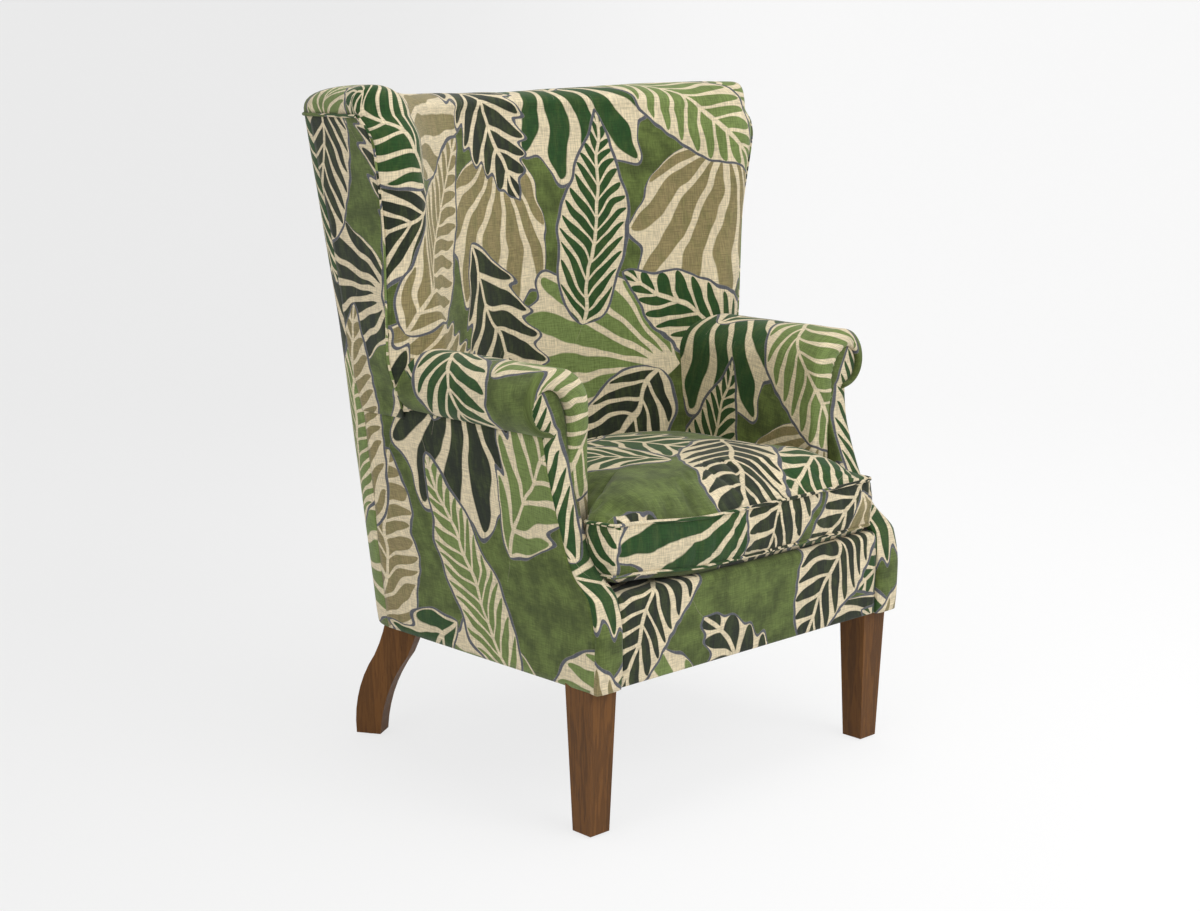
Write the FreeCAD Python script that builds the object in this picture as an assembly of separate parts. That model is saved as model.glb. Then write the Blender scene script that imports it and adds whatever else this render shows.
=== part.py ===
import FreeCAD
import Part
import math
import os

# Upholstered wing armchair, in millimetres. X runs across, Y from front to back, Z up.
# It is drawn from the front face of the front feet and moved to its middle when saved.

V = FreeCAD.Vector

# Heights
UNDERSIDE = 214.0
UNDERSIDE_DROP = 9.0
FRAME_SET = 2.0
RAIL_DEEP = 102.0
STRAP = 2.0
SHEET = 1.5
DECK_THICK = 18.2
ARM_RISE = 302.3
ROLL_DEEP = 93.0
BACK_RISE = 331.0
ROLL_RISE = 43.0
CROWN_DIP = 15.0
FRAME_BOTTOM = UNDERSIDE + FRAME_SET
RAIL_TOP = FRAME_BOTTOM + RAIL_DEEP
DECK_BASE = RAIL_TOP + 2 * STRAP + SHEET
DECK_TOP = DECK_BASE + DECK_THICK
ARM_TOP = DECK_TOP + ARM_RISE
ARM_UNDERSIDE = ARM_TOP - ROLL_DEEP
SIDE_RISE = ARM_UNDERSIDE - DECK_TOP
SHELL_TOP = ARM_TOP + BACK_RISE
WING_BEND = SHELL_TOP - 0.136 * BACK_RISE
WING_MIDDLE = ARM_TOP + 0.45 * BACK_RISE
WING_TOP = SHELL_TOP + ROLL_RISE

# Widths from the centre line
SEAT_HALF = 237.5
ARM_WALL = 37.0
FACING_WIDE = 45.5
ROLL_OUT = 34.0
WING_OUT = 68.0
SEAM_X = SEAT_HALF + ARM_WALL
BODY_HALF = SEAM_X + FACING_WIDE

# Depths
BODY_FRONT = -21.0
BODY_DEEP = 586.0
BACK_LEAN = 30.0
FACING_PROUD = 2.0
FACING_LEAN = 108.0
ARM_SET = 79.0
WING_DEEP = 230.0
WING_NOSE = 27.0
SEAT_BACK_THICK = 149.0
HEAD_BACK_THICK = 92.0
CORNER_RADIUS = 90.0
MID_Y = 285.3
FACING_FRONT = BODY_FRONT - FACING_PROUD
ARM_FRONT = BODY_FRONT + ARM_SET
BACK_BOTTOM = BODY_FRONT + BODY_DEEP
WING_FRONT = BACK_BOTTOM - WING_DEEP
BACK_TOP = BACK_BOTTOM + BACK_LEAN

# Thicknesses and fits
PANEL = 8.0
FACING_THICK = 6.0
BORDER_THICK = 20.0
WOOD = 28.0
POST_DEEP = 34.0
POST_INSET = 2.5
BACK_POST = 40.0
BACK_POST_IN = 82.2
PAD_THICK = 58.0
STRAP_WIDE = 50.0
FIT = 0.3
BEHIND = SHEET + STRAP
RAIL_FRONT = BODY_FRONT + BORDER_THICK
RAIL_X = SEAM_X + POST_INSET
BACK_POST_X = BODY_HALF - BACK_POST_IN

# Legs
LEG_FOOT = 36.0
LEG_HEAD = 50.0
LEG_SET = 10.0
LEG_OUTER = BODY_HALF - LEG_SET
REAR_LEG_THICK = 35.0
REAR_LEG_WIDE = 40.0
REAR_LEG_TURN = 31.4
HEEL_IN = 39.0
HEEL_OUT = 9.0
GLIDE = 3.0
GLIDE_R = 10.0
BOLT_R = 4.0
BOLT_HALF = 24.0

# Loose cushion
CUSHION_SIDE = 2.0
CUSHION_REAR_GAP = 4.0
CUSHION_FRONT_GAP = 12.0
CUSHION_BOX = 82.0
CUSHION_CROWN = 44.0
CUSHION_EDGE = 9.0
EAR_GAP = 3.0
EAR_REAR_GAP = 4.0
CUSHION_BASE = DECK_TOP + FIT
CUSHION_SEAM = CUSHION_BASE + CUSHION_BOX
CUSHION_FRONT = BODY_FRONT + CUSHION_FRONT_GAP

# Long enough to cut right through the chair, and the least twist that counts
FAR = 2 * BODY_DEEP
FLAT = 1e-7


def at(z, stations):
    """Value at height z on straight runs between (height, value) stations."""
    low = stations[0]
    if z <= low[0]:
        return low[1]
    for high in stations[1:]:
        if z <= high[0]:
            share = (z - low[0]) / (high[0] - low[0])
            return low[1] + share * (high[1] - low[1])
        low = high
    return low[1]


def box(x0, x1, y0, y1, z0, z1):
    return Part.makeBox(x1 - x0, y1 - y0, z1 - z0, V(x0, y0, z0))


def bow(a, b, c, count):
    """Points along the arc from a through b to c."""
    return Part.Arc(a, b, c).toShape().discretize(count + 1)


def closed(points):
    return Part.makePolygon(list(points) + [points[0]])


def flat_sides(a, b, c, d):
    """One flat face on four points, or two along the shorter diagonal if they are twisted."""
    normal = (c - a).cross(d - b).normalize()
    if abs((b - a).dot(normal)) < FLAT:
        return [Part.Face(closed([a, b, c, d]))]
    if (c - a).Length < (d - b).Length:
        return [Part.Face(closed([a, b, c])), Part.Face(closed([a, c, d]))]
    return [Part.Face(closed([a, b, d])), Part.Face(closed([b, c, d]))]


def loft(outlines):
    """Solid through level outlines that have the same number of points."""
    faces = [Part.Face(closed(outlines[0])), Part.Face(closed(outlines[-1]))]
    for low, high in zip(outlines, outlines[1:]):
        for i in range(len(low)):
            faces += flat_sides(low[i - 1], low[i], high[i], high[i - 1])
    solid = Part.Solid(Part.Shell(faces))
    return solid if solid.Volume > 0 else solid.reversed()


def prism(plan, z0, z1):
    """Upright solid on a plan of (x, y) corners."""
    return Part.Face(closed([V(x, y, z0) for x, y in plan])).extrude(V(0, 0, z1 - z0))


def square(x, y, size, z):
    return [V(x, y, z), V(x + size, y, z), V(x + size, y + size, z), V(x, y + size, z)]


def flip(points):
    return [V(-p.x, p.y, p.z) for p in reversed(points)]


def mirrored(shape):
    return shape.mirror(V(0, 0, 0), V(1, 0, 0))


def both(shape):
    return shape, mirrored(shape)


def cut_all(shape, tools):
    for tool in tools:
        shape = shape.cut(tool)
    return shape


def largest(shape):
    return max(shape.Solids, key=lambda solid: solid.Volume)


# Outside of the body, by height
SIDE_X = (
    (UNDERSIDE, BODY_HALF),
    (DECK_TOP, BODY_HALF + 0.044 * FACING_WIDE),
    (DECK_TOP + 0.38 * SIDE_RISE, BODY_HALF - 0.187 * FACING_WIDE),
    (DECK_TOP + 0.757 * SIDE_RISE, BODY_HALF - 0.286 * FACING_WIDE),
    (ARM_UNDERSIDE, BODY_HALF - 0.264 * FACING_WIDE),
)
WING_X = (
    (DECK_TOP, BODY_HALF - 0.11 * FACING_WIDE),
    (ARM_UNDERSIDE, BODY_HALF + 0.3 * WING_OUT),
    (ARM_TOP, BODY_HALF + 0.68 * WING_OUT),
    (WING_MIDDLE, BODY_HALF + 0.71 * WING_OUT),
    (WING_BEND, BODY_HALF + 0.94 * WING_OUT),
    (SHELL_TOP, BODY_HALF + WING_OUT),
    (WING_TOP, BODY_HALF + 1.03 * WING_OUT),
)
WING_Y = (
    (WING_BEND, WING_FRONT + WING_NOSE),
    (SHELL_TOP, WING_FRONT + 1.98 * WING_NOSE),
    (WING_TOP, WING_FRONT + 2.45 * WING_NOSE),
)
CORNER_X = (
    (UNDERSIDE, BODY_HALF - 1.167 * CORNER_RADIUS),
    (ARM_UNDERSIDE, BODY_HALF - 0.69 * CORNER_RADIUS),
    (SHELL_TOP, BODY_HALF - 0.215 * CORNER_RADIUS),
)
CORNER_Y = (
    (UNDERSIDE, BACK_BOTTOM - 1.278 * CORNER_RADIUS),
    (ARM_UNDERSIDE, BACK_BOTTOM - 1.19 * CORNER_RADIUS),
    (SHELL_TOP, BACK_TOP - 0.8 * CORNER_RADIUS),
)
CORNER_R = (
    (UNDERSIDE, CORNER_RADIUS),
    (ARM_UNDERSIDE, 0.944 * CORNER_RADIUS),
    (SHELL_TOP, 0.756 * CORNER_RADIUS),
)
BACK_Y = ((UNDERSIDE, BACK_BOTTOM), (ARM_UNDERSIDE, BACK_BOTTOM + 0.1 * BACK_LEAN), (SHELL_TOP, BACK_TOP))
SIDE_START = BODY_FRONT - BORDER_THICK


def side_front(z):
    return at(z, SIDE_X), SIDE_START


def wing_front(z):
    return at(z, WING_X), at(z, WING_Y)


def rear_line(z, inset, front, corner_count=5, back_count=6):
    """Line round the right rear corner to the middle of the back, drawn in by inset."""
    cx = at(z, CORNER_X)
    cy = at(z, CORNER_Y)
    r = at(z, CORNER_R)
    back = at(z, BACK_Y)
    gap = cy - back
    big = (r * r - gap * gap - cx * cx) / (2 * (gap + r))
    reach = math.hypot(front[0] - cx, front[1] - cy)
    a0 = math.atan2(front[1] - cy, front[0] - cx) + math.acos(r / reach)
    a1 = math.atan2(cy - (back - big), cx)
    turn = []
    for angle in (a0, (a0 + a1) / 2, a1):
        turn.append(V(cx + (r - inset) * math.cos(angle), cy + (r - inset) * math.sin(angle), z))
    half = bow(turn[0], turn[1], turn[2], corner_count)
    across = bow(turn[2], V(0, back - inset, z), V(-turn[2].x, turn[2].y, z), 2 * back_count)
    return half[:-1] + across[:back_count + 1]


def whole_line(half):
    """A right half line and its mirror image, joined in the middle."""
    return half[:-1] + flip(half[:-1] + [half[-1]])


def side_strip(z, front):
    """Thin straight strip along the right side up to the corner."""
    outer = rear_line(z, 0.0, front)[0]
    inner = rear_line(z, PANEL, front)[0]
    return [V(front[0], front[1], z), outer, inner, V(front[0] - PANEL, front[1], z)]


def back_strip(z, front):
    """Thin strip round both corners and the back."""
    outer = whole_line(rear_line(z, 0.0, front))
    inner = whole_line(rear_line(z, PANEL, front))
    return outer + list(reversed(inner))


def inside_point(front, end, y):
    """Place at depth y on the inner face of the straight run from front to end."""
    share = (y - front[1]) / (end.y - front[1])
    near = front[0] - PANEL - FIT
    return near + share * (end.x - near), y


def under_cut():
    """Everything below the underside, which drops a little to the rear."""
    slope = math.degrees(math.atan2(UNDERSIDE_DROP, BODY_DEEP))
    under = box(-FAR, FAR, -FAR, FAR, -FAR, 0.0)
    under.rotate(V(0, 0, 0), V(1, 0, 0), -slope)
    under.translate(V(0, BODY_FRONT, UNDERSIDE))
    return under


# Padded barrel inside, by height
NOSE_X = (
    (DECK_TOP, BODY_HALF - 0.484 * FACING_WIDE),
    (ARM_TOP, BODY_HALF + 0.09 * WING_OUT),
    (WING_MIDDLE, BODY_HALF + 0.25 * WING_OUT),
    (WING_TOP, BODY_HALF + 0.47 * WING_OUT),
)
NOSE_Y = (
    (WING_BEND, WING_FRONT),
    (SHELL_TOP, WING_FRONT + 0.56 * WING_NOSE),
    (WING_TOP, WING_FRONT + 1.4 * WING_NOSE),
)
TURN_X = (
    (DECK_TOP, SEAT_HALF + 0.66 * ARM_WALL),
    (ARM_TOP, SEAT_HALF + 1.03 * ARM_WALL),
    (WING_MIDDLE, SEAT_HALF + 1.81 * ARM_WALL),
    (SHELL_TOP, SEAT_HALF + 2.16 * ARM_WALL),
)
TURN_Y = (
    (DECK_TOP, WING_FRONT - 0.33 * WING_NOSE),
    (ARM_TOP, WING_FRONT + 0.11 * WING_NOSE),
    (WING_BEND, WING_FRONT + 0.44 * WING_NOSE),
    (SHELL_TOP, WING_FRONT + WING_NOSE),
    (WING_TOP, WING_FRONT + 1.81 * WING_NOSE),
)
HOLLOW_Y = ((DECK_TOP, BACK_BOTTOM - SEAT_BACK_THICK), (SHELL_TOP, BACK_TOP - HEAD_BACK_THICK))
REST_X = ((DECK_TOP, BODY_HALF - 0.09 * FACING_WIDE), (SHELL_TOP, BODY_HALF + 0.735 * WING_OUT))
REST_Y = ((DECK_TOP, BACK_BOTTOM - 2 * CORNER_RADIUS), (SHELL_TOP, BACK_TOP - 1.733 * CORNER_RADIUS))
BARREL_HEIGHTS = (DECK_TOP, ARM_UNDERSIDE, ARM_TOP, WING_BEND, SHELL_TOP)


def inner_line(z, inset):
    """Line from the left wing seam round the nose and the hollow to the right one."""
    seam = V(at(z, WING_X) - inset, at(z, WING_Y) + 0.3 * inset, z)
    nose = V(at(z, NOSE_X), at(z, NOSE_Y) + inset, z)
    turn = V(at(z, TURN_X) + 0.4 * inset, at(z, TURN_Y) + inset, z)
    hollow = V(0, at(z, HOLLOW_Y) + inset, z)
    right = bow(turn, nose, seam, 5)
    middle = bow(V(-turn.x, turn.y, z), hollow, turn, 16)
    return flip(right)[:-1] + middle + right[1:]


def rest_line(z, away):
    """Line at the back of the padding, moved back by away."""
    rest = V(at(z, REST_X), at(z, REST_Y) + away, z)
    middle = V(0, at(z, HOLLOW_Y) + PAD_THICK + away, z)
    return bow(rest, middle, V(-rest.x, rest.y, z), 14)


def barrel():
    return loft([inner_line(z, 0.0) + rest_line(z, 0.0) for z in BARREL_HEIGHTS])


def behind_pad(near, far, z0, z1, half):
    """Curved strip behind the padding, between two distances from it."""
    strip = loft([rest_line(z, near) + list(reversed(rest_line(z, far))) for z in (DECK_TOP, SHELL_TOP)])
    return strip.common(box(-half, half, 0.0, FAR, z0, z1))


def top_roll():
    """The padding that turns over the top of the frame, lower in the middle."""
    outlines = []
    for rise, inset in ((0.0, 0.0), (0.58, 0.14), (0.88, 0.42), (1.0, 0.72)):
        z = SHELL_TOP + rise * ROLL_RISE
        inset *= ROLL_RISE
        rear = whole_line(rear_line(z, inset, wing_front(z)))
        outlines.append(inner_line(z, inset) + rear)
    half = BODY_HALF + 0.5 * WING_OUT
    radius = (half * half + CROWN_DIP * CROWN_DIP) / (2 * CROWN_DIP)
    above = Part.makeCylinder(radius, FAR, V(0, 0, WING_TOP - CROWN_DIP + radius), V(0, 1, 0))
    return loft(outlines).cut(above)


# Arms
HEAD_R = 0.343 * ROLL_DEEP
HEAD_X = SEAM_X + 0.85 * FACING_WIDE
HEAD_Z = ARM_TOP - 0.58 * ROLL_DEEP


def facing_prism(inset, outer, y0, y1):
    """The facing's outline seen from the front, with its scroll head."""
    bottom = UNDERSIDE if inset == 0 else FRAME_BOTTOM
    r = HEAD_R - inset
    inner = SEAM_X + inset
    right = BODY_HALF - outer
    neck_x = SEAM_X + 0.703 * FACING_WIDE - outer
    left = V(HEAD_X - r * math.cos(0.25), y0, HEAD_Z + r * math.sin(0.25))
    crown = V(HEAD_X, y0, HEAD_Z + r)
    under = V(HEAD_X, y0, HEAD_Z - r)
    neck = V(neck_x, y0, ARM_UNDERSIDE - 0.12 * ROLL_DEEP)
    slim = V(neck_x + FIT, y0, DECK_TOP + 0.757 * SIDE_RISE)
    waist = V(right - 0.2 * FACING_WIDE, y0, DECK_TOP + 0.468 * SIDE_RISE)
    hip = V(right - 0.088 * FACING_WIDE, y0, DECK_TOP + 0.2 * SIDE_RISE)
    knee = V(right + 0.044 * FACING_WIDE, y0, DECK_TOP)
    outline = bow(V(inner, y0, ARM_UNDERSIDE + 0.12 * ROLL_DEEP), left, crown, 7)[:-1]
    outline += bow(crown, V(HEAD_X + r, y0, HEAD_Z), under, 10)
    outline += bow(neck, slim, waist, 5)[:-1] + bow(waist, hip, knee, 4)
    outline += [V(right, y0, bottom), V(inner, y0, bottom)]
    return Part.Face(closed(outline)).extrude(V(0, y1 - y0, 0))


def front_curve(shift):
    """The facing's curve seen from the side, shifted to the rear."""
    front = FACING_FRONT + shift
    points = [
        V(0, front, UNDERSIDE - UNDERSIDE_DROP),
        V(0, front - 0.032 * FACING_LEAN, UNDERSIDE + 0.53 * (DECK_TOP - UNDERSIDE)),
        V(0, front + 0.065 * FACING_LEAN, DECK_TOP - 0.02 * SIDE_RISE),
        V(0, front + 0.426 * FACING_LEAN, DECK_TOP + 0.153 * SIDE_RISE),
        V(0, front + 0.75 * FACING_LEAN, DECK_TOP + 0.492 * SIDE_RISE),
        V(0, front + 0.954 * FACING_LEAN, ARM_UNDERSIDE - 0.148 * SIDE_RISE),
        V(0, front + FACING_LEAN, ARM_UNDERSIDE + 0.09 * SIDE_RISE),
        V(0, front + FACING_LEAN, ARM_TOP + 0.03 * SIDE_RISE),
    ]
    curve = Part.BSplineCurve()
    curve.interpolate(points)
    return curve.toShape().discretize(19)


def front_band(near, far):
    """Slab between two shifts of the side curve, as wide as one arm."""
    face = Part.Face(closed(front_curve(near) + list(reversed(front_curve(far)))))
    face.translate(V(0.8 * SEAT_HALF, 0, 0))
    return face.extrude(V(SEAT_HALF, 0, 0))


def arm_pad():
    """Inner arm and roll in one padded form."""
    y = ARM_FRONT
    inner = V(SEAT_HALF, y, ARM_TOP - 0.634 * ROLL_DEEP)
    top = V(SEAM_X + 0.56 * FACING_WIDE, y, ARM_TOP)
    outer = V(BODY_HALF + ROLL_OUT, y, ARM_TOP - 0.505 * ROLL_DEEP)
    under = V(BODY_HALF - 0.044 * FACING_WIDE, y, ARM_UNDERSIDE)
    shoulder = V(SEAT_HALF + 0.42 * ARM_WALL, y, ARM_TOP - 0.194 * ROLL_DEEP)
    cheek = V(BODY_HALF + 0.59 * ROLL_OUT, y, ARM_TOP - 0.15 * ROLL_DEEP)
    chin = V(BODY_HALF + 0.676 * ROLL_OUT, y, ARM_TOP - 0.85 * ROLL_DEEP)
    outline = [V(SEAT_HALF, y, DECK_TOP)] + bow(inner, shoulder, top, 8)[:-1]
    outline += bow(top, cheek, outer, 8)[:-1] + bow(outer, chin, under, 7)
    outline += [V(SEAM_X, y, ARM_UNDERSIDE), V(SEAM_X, y, DECK_TOP)]
    deep = WING_FRONT + 1.37 * WING_NOSE - y
    return Part.Face(closed(outline)).extrude(V(0, deep, 0))


# Legs

def front_leg():
    grow = (LEG_HEAD - LEG_FOOT) / 2
    inner = LEG_OUTER - LEG_FOOT
    return loft([square(inner, 0.0, LEG_FOOT, GLIDE), square(inner - grow, -grow, LEG_HEAD, FRAME_BOTTOM)])


def rear_leg():
    """Flat sabre board, its heel out and back, drawn on edge and then turned."""
    wide = REAR_LEG_WIDE
    tall = FRAME_BOTTOM - GLIDE
    back = [V(0, 0, 0), V(0.1 * wide, 0, 0.296 * tall), V(0.825 * wide, 0, 0.615 * tall)]
    back += [V(1.15 * wide, 0, 0.765 * tall), V(1.425 * wide, 0, tall)]
    fore = [V(wide, 0, 0), V(1.275 * wide, 0, 0.277 * tall), V(2.2 * wide, 0, 0.615 * tall)]
    fore += [V(2.475 * wide, 0, 0.742 * tall), V(2.8 * wide, 0, tall)]
    outline = bow(back[0], back[1], back[2], 7)[:-1] + bow(back[2], back[3], back[4], 4)
    outline += bow(fore[4], fore[3], fore[2], 4)[:-1] + bow(fore[2], fore[1], fore[0], 7)
    leg = Part.Face(closed(outline)).extrude(V(0, -REAR_LEG_THICK, 0))
    leg.rotate(V(0, 0, 0), V(0, 0, 1), 270.0 - REAR_LEG_TURN)
    leg.translate(V(BODY_HALF - HEEL_IN, BACK_BOTTOM + HEEL_OUT, GLIDE))
    return leg


def rear_leg_point(along):
    """Plan place in the middle of the rear leg's thickness."""
    turn = math.radians(270.0 - REAR_LEG_TURN)
    across = REAR_LEG_THICK / 2
    x = BODY_HALF - HEEL_IN + along * math.cos(turn) + across * math.sin(turn)
    y = BACK_BOTTOM + HEEL_OUT + along * math.sin(turn) - across * math.cos(turn)
    return x, y


def four_rods(places, radius, z0, length):
    rods = []
    for x, y in places:
        for side in (1, -1):
            rods.append(Part.makeCylinder(radius, length, V(side * x, y, z0)))
    return Part.makeCompound(rods)


def leg_bolts():
    places = ((LEG_OUTER - LEG_FOOT / 2, 0.8 * LEG_FOOT), rear_leg_point(2.1 * REAR_LEG_WIDE))
    return four_rods(places, BOLT_R, FRAME_BOTTOM - BOLT_HALF, 2 * BOLT_HALF)


# Loose cushion

def hollow_circle():
    """Centre and radius of the padded hollow at the seat."""
    x = at(CUSHION_BASE, TURN_X)
    sag = at(CUSHION_BASE, HOLLOW_Y) - at(CUSHION_BASE, TURN_Y)
    radius = (x * x + sag * sag) / (2 * sag)
    return at(CUSHION_BASE, HOLLOW_Y) - radius, radius


def round_corner(before, here, after, radius):
    """Points of the arc that rounds a corner."""
    back = (before - here).normalize()
    ahead = (after - here).normalize()
    half = back.getAngle(ahead) / 2
    reach = radius / math.tan(half)
    middle = (back + ahead).normalize()
    near = here + middle * (radius / math.sin(half) - radius)
    return bow(here + back * reach, near, here + ahead * reach, 3)


def cushion_outline(z, inset):
    """T-shaped outline, rounded behind to the padded hollow."""
    centre, radius = hollow_circle()
    radius -= CUSHION_REAR_GAP + inset
    half = SEAT_HALF - CUSHION_SIDE - inset
    ear = SEAM_X - EAR_GAP - inset
    front = CUSHION_FRONT + inset
    lobe = ARM_FRONT - EAR_REAR_GAP - inset
    rear = centre + math.sqrt(radius * radius - half * half)
    behind = bow(V(half, rear, z), V(0, centre + radius, z), V(-half, rear, z), 14)
    bend = 0.43 * ARM_WALL
    corners = [V(ear, front, z), V(ear, lobe, z), V(half, lobe + FIT, z)]
    right = round_corner(V(0, front - bend / 3, z), corners[0], corners[1], bend)
    right += round_corner(corners[0], corners[1], corners[2], bend / 2)
    right += round_corner(corners[1], corners[2], behind[0], bend / 4)
    return [V(0, front - bend / 3, z)] + right + behind + flip(right)


def seat_cushion():
    """Boxed cushion with drawn-in edges and a crown."""
    edge = CUSHION_EDGE
    lid_base = CUSHION_SEAM + 2.9 * edge
    stations = (
        (CUSHION_BASE, edge),
        (CUSHION_BASE + edge, 0.0),
        (CUSHION_SEAM, 0.0),
        (CUSHION_SEAM + 1.7 * edge, 0.7 * edge),
        (lid_base, 2 * edge),
    )
    outlines = [cushion_outline(z, inset) for z, inset in stations]
    rise = CUSHION_SEAM + CUSHION_CROWN - lid_base
    middle = V(0, (CUSHION_FRONT + at(CUSHION_BASE, HOLLOW_Y)) / 2, lid_base)
    for share in (0.75, 0.45, 0.15):
        lifted = V(0, 0, rise * (1 - share * share))
        outlines.append([middle + (p - middle) * share + lifted for p in outlines[len(stations) - 1]])
    return loft(outlines)


def save(name, shape):
    moved = shape.copy()
    moved.translate(V(0, -MID_Y, 0))
    moved.exportStep("parts/" + name + ".step")


def save_pair(name, shape):
    save(name + "_right", shape)
    save(name + "_left", mirrored(shape))


def make_legs(front, rear, bolts):
    glide_places = ((LEG_OUTER - LEG_FOOT / 2, LEG_FOOT / 2), rear_leg_point(REAR_LEG_WIDE / 2))
    save_pair("front_leg", front.cut(bolts))
    save_pair("rear_leg", rear.cut(bolts))
    save("leg_bolts", bolts)
    save("glides", four_rods(glide_places, GLIDE_R, 0.0, GLIDE))


def make_outside(front, rear, wing):
    """Covered panels of the sides, the wings and the back."""
    under = under_cut()
    low_heights = [UNDERSIDE - 2 * UNDERSIDE_DROP] + [height for height, x in SIDE_X[1:]]
    low = loft([side_strip(z, side_front(z)) for z in low_heights])
    outside_arm = low.cut(under).cut(front_band(-SEAT_HALF, FACING_THICK)).cut(front)
    save_pair("outside_arm", largest(outside_arm))
    save_pair("outside_wing", wing)
    low_back = loft([back_strip(z, side_front(z)) for z in (low_heights[0], DECK_TOP, ARM_UNDERSIDE)])
    high_back = loft([back_strip(z, wing_front(z)) for z in (ARM_UNDERSIDE, ARM_TOP, WING_BEND, SHELL_TOP)])
    low_back = cut_all(low_back.cut(under), both(rear))
    save("outside_back", low_back.fuse(high_back))


def make_back_frame(post, back_post):
    """Rails and posts of the arms, the wings and the back."""
    post_rear = BACK_BOTTOM - CORNER_RADIUS
    half_wood = WOOD / 2
    middle_x = HEAD_X - BOLT_R - 2 * POST_INSET
    arm_rail = box(
        middle_x - half_wood, middle_x + half_wood, 0.0, post_rear, ARM_UNDERSIDE + half_wood,
        ARM_UNDERSIDE + half_wood + WOOD
    )
    arm_rail = largest(arm_rail.cut(post).cut(back_post))
    tack_rail = box(RAIL_X + FIT, RAIL_X + 0.8 * WOOD, 0.0, post_rear, DECK_TOP + STRAP, DECK_TOP + WOOD)
    tack_rail = largest(tack_rail.cut(post).cut(back_post))
    web = behind_pad(-FAR / 4, BEHIND, DECK_TOP, SHELL_TOP, FAR)
    foot_y = BACK_BOTTOM - 1.39 * CORNER_RADIUS
    head_y = BACK_TOP - 1.78 * CORNER_RADIUS
    head_x = BODY_HALF + 0.26 * WING_OUT
    foot = square(middle_x - half_wood, foot_y, WOOD, ARM_UNDERSIDE + half_wood + WOOD)
    wing_post = largest(loft([foot, square(head_x, head_y, WOOD, WING_BEND + half_wood)]).cut(web))
    rail_z = SHELL_TOP - 0.15 * BACK_RISE
    end = rear_line(rail_z, PANEL + FIT, wing_front(rail_z))[0]
    near = inside_point(wing_front(rail_z), end, head_y + half_wood)
    plan = ((near[0] - WOOD, near[1]), near, (end.x, end.y), (end.x - WOOD, end.y))
    wing_rail = cut_all(prism(plan, rail_z, rail_z + WOOD), (back_post, wing_post, web))
    save_pair("arm_rail", arm_rail)
    save_pair("tack_rail", tack_rail)
    save_pair("back_post", back_post)
    save_pair("wing_post", wing_post)
    save_pair("wing_rail", largest(wing_rail))
    crest_z = SHELL_TOP - POST_DEEP / 2
    crest = behind_pad(BEHIND, BEHIND + 0.7 * WOOD, crest_z - 1.5 * WOOD, crest_z, BODY_HALF - BORDER_THICK)
    lumbar_z = DECK_TOP + PANEL
    lumbar = behind_pad(BEHIND, BEHIND + WOOD, lumbar_z, lumbar_z + 1.4 * WOOD, SEAT_HALF + BORDER_THICK)
    save("crest_rail", largest(cut_all(crest, both(back_post))))
    save("lumbar_rail", largest(cut_all(lumbar, both(back_post))))
    return arm_rail


def make_seat_rails(post, back_post, bolts):
    """Front, side and back rails with the corner blocks."""
    front_rail = box(-SEAM_X, SEAM_X, RAIL_FRONT, RAIL_FRONT + WOOD, FRAME_BOTTOM, RAIL_TOP + STRAP)
    save("front_rail", front_rail)
    line = rear_line(FRAME_BOTTOM, PANEL + FIT, side_front(FRAME_BOTTOM))
    near = inside_point(side_front(FRAME_BOTTOM), line[0], RAIL_FRONT - PANEL)
    far = inside_point(side_front(FRAME_BOTTOM), line[0], line[0].y - PANEL / 2)
    side = prism(((RAIL_X, near[1]), near, far, (RAIL_X, far[1])), FRAME_BOTTOM, RAIL_TOP)
    save_pair("side_rail", largest(side.cut(post).cut(back_post)).cut(bolts))
    outer = [p for p in whole_line(line) if abs(p.x) < BACK_POST_X]
    inner = [p - V(0, WOOD, 0) for p in reversed(outer)]
    back = Part.Face(closed(outer + inner)).extrude(V(0, 0, RAIL_DEEP + STRAP))
    save("back_rail", cut_all(back.cut(bolts), both(back_post)))
    leg = 2.2 * WOOD
    start = RAIL_FRONT + WOOD
    plan = ((RAIL_X, start), (RAIL_X - leg, start), (RAIL_X, start + leg))
    save_pair("corner_block", prism(plan, FRAME_BOTTOM + WOOD / 2, RAIL_TOP - WOOD / 2).cut(bolts))
    corner = inside_point(side_front(FRAME_BOTTOM), line[0], RAIL_FRONT)
    right = [V(corner[0], corner[1], FRAME_BOTTOM)] + line
    return Part.Face(closed(whole_line(right))).extrude(V(0, 0, -SHEET))


def make_seat_cloth():
    """Straps, hessian and padded deck over the rails, and the padded front border."""
    half = STRAP_WIDE / 2
    lengthwise = []
    across = []
    for i in range(5):
        x = (i - 2) * 0.36 * SEAT_HALF
        rear = BACK_BOTTOM - 1.5 * WOOD
        lengthwise.append(box(x - half, x + half, 0.0, rear, RAIL_TOP + STRAP, DECK_BASE - SHEET))
    for i in range(4):
        y = (0.2 + 0.162 * i) * BODY_DEEP
        reach = RAIL_X + WOOD / 2
        across.append(box(-reach, reach, y - half, y + half, RAIL_TOP, RAIL_TOP + STRAP))
    save("seat_straps_long", Part.makeCompound(lengthwise))
    save("seat_straps_cross", Part.makeCompound(across))
    deck_rear = BACK_BOTTOM - SEAT_BACK_THICK + 0.8 * WOOD
    save("seat_hessian", box(-SEAM_X, SEAM_X, RAIL_FRONT, deck_rear, DECK_BASE - SHEET, DECK_BASE))
    save("seat_deck", box(-SEAM_X, SEAM_X, RAIL_FRONT, deck_rear, DECK_BASE, DECK_TOP))


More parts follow.
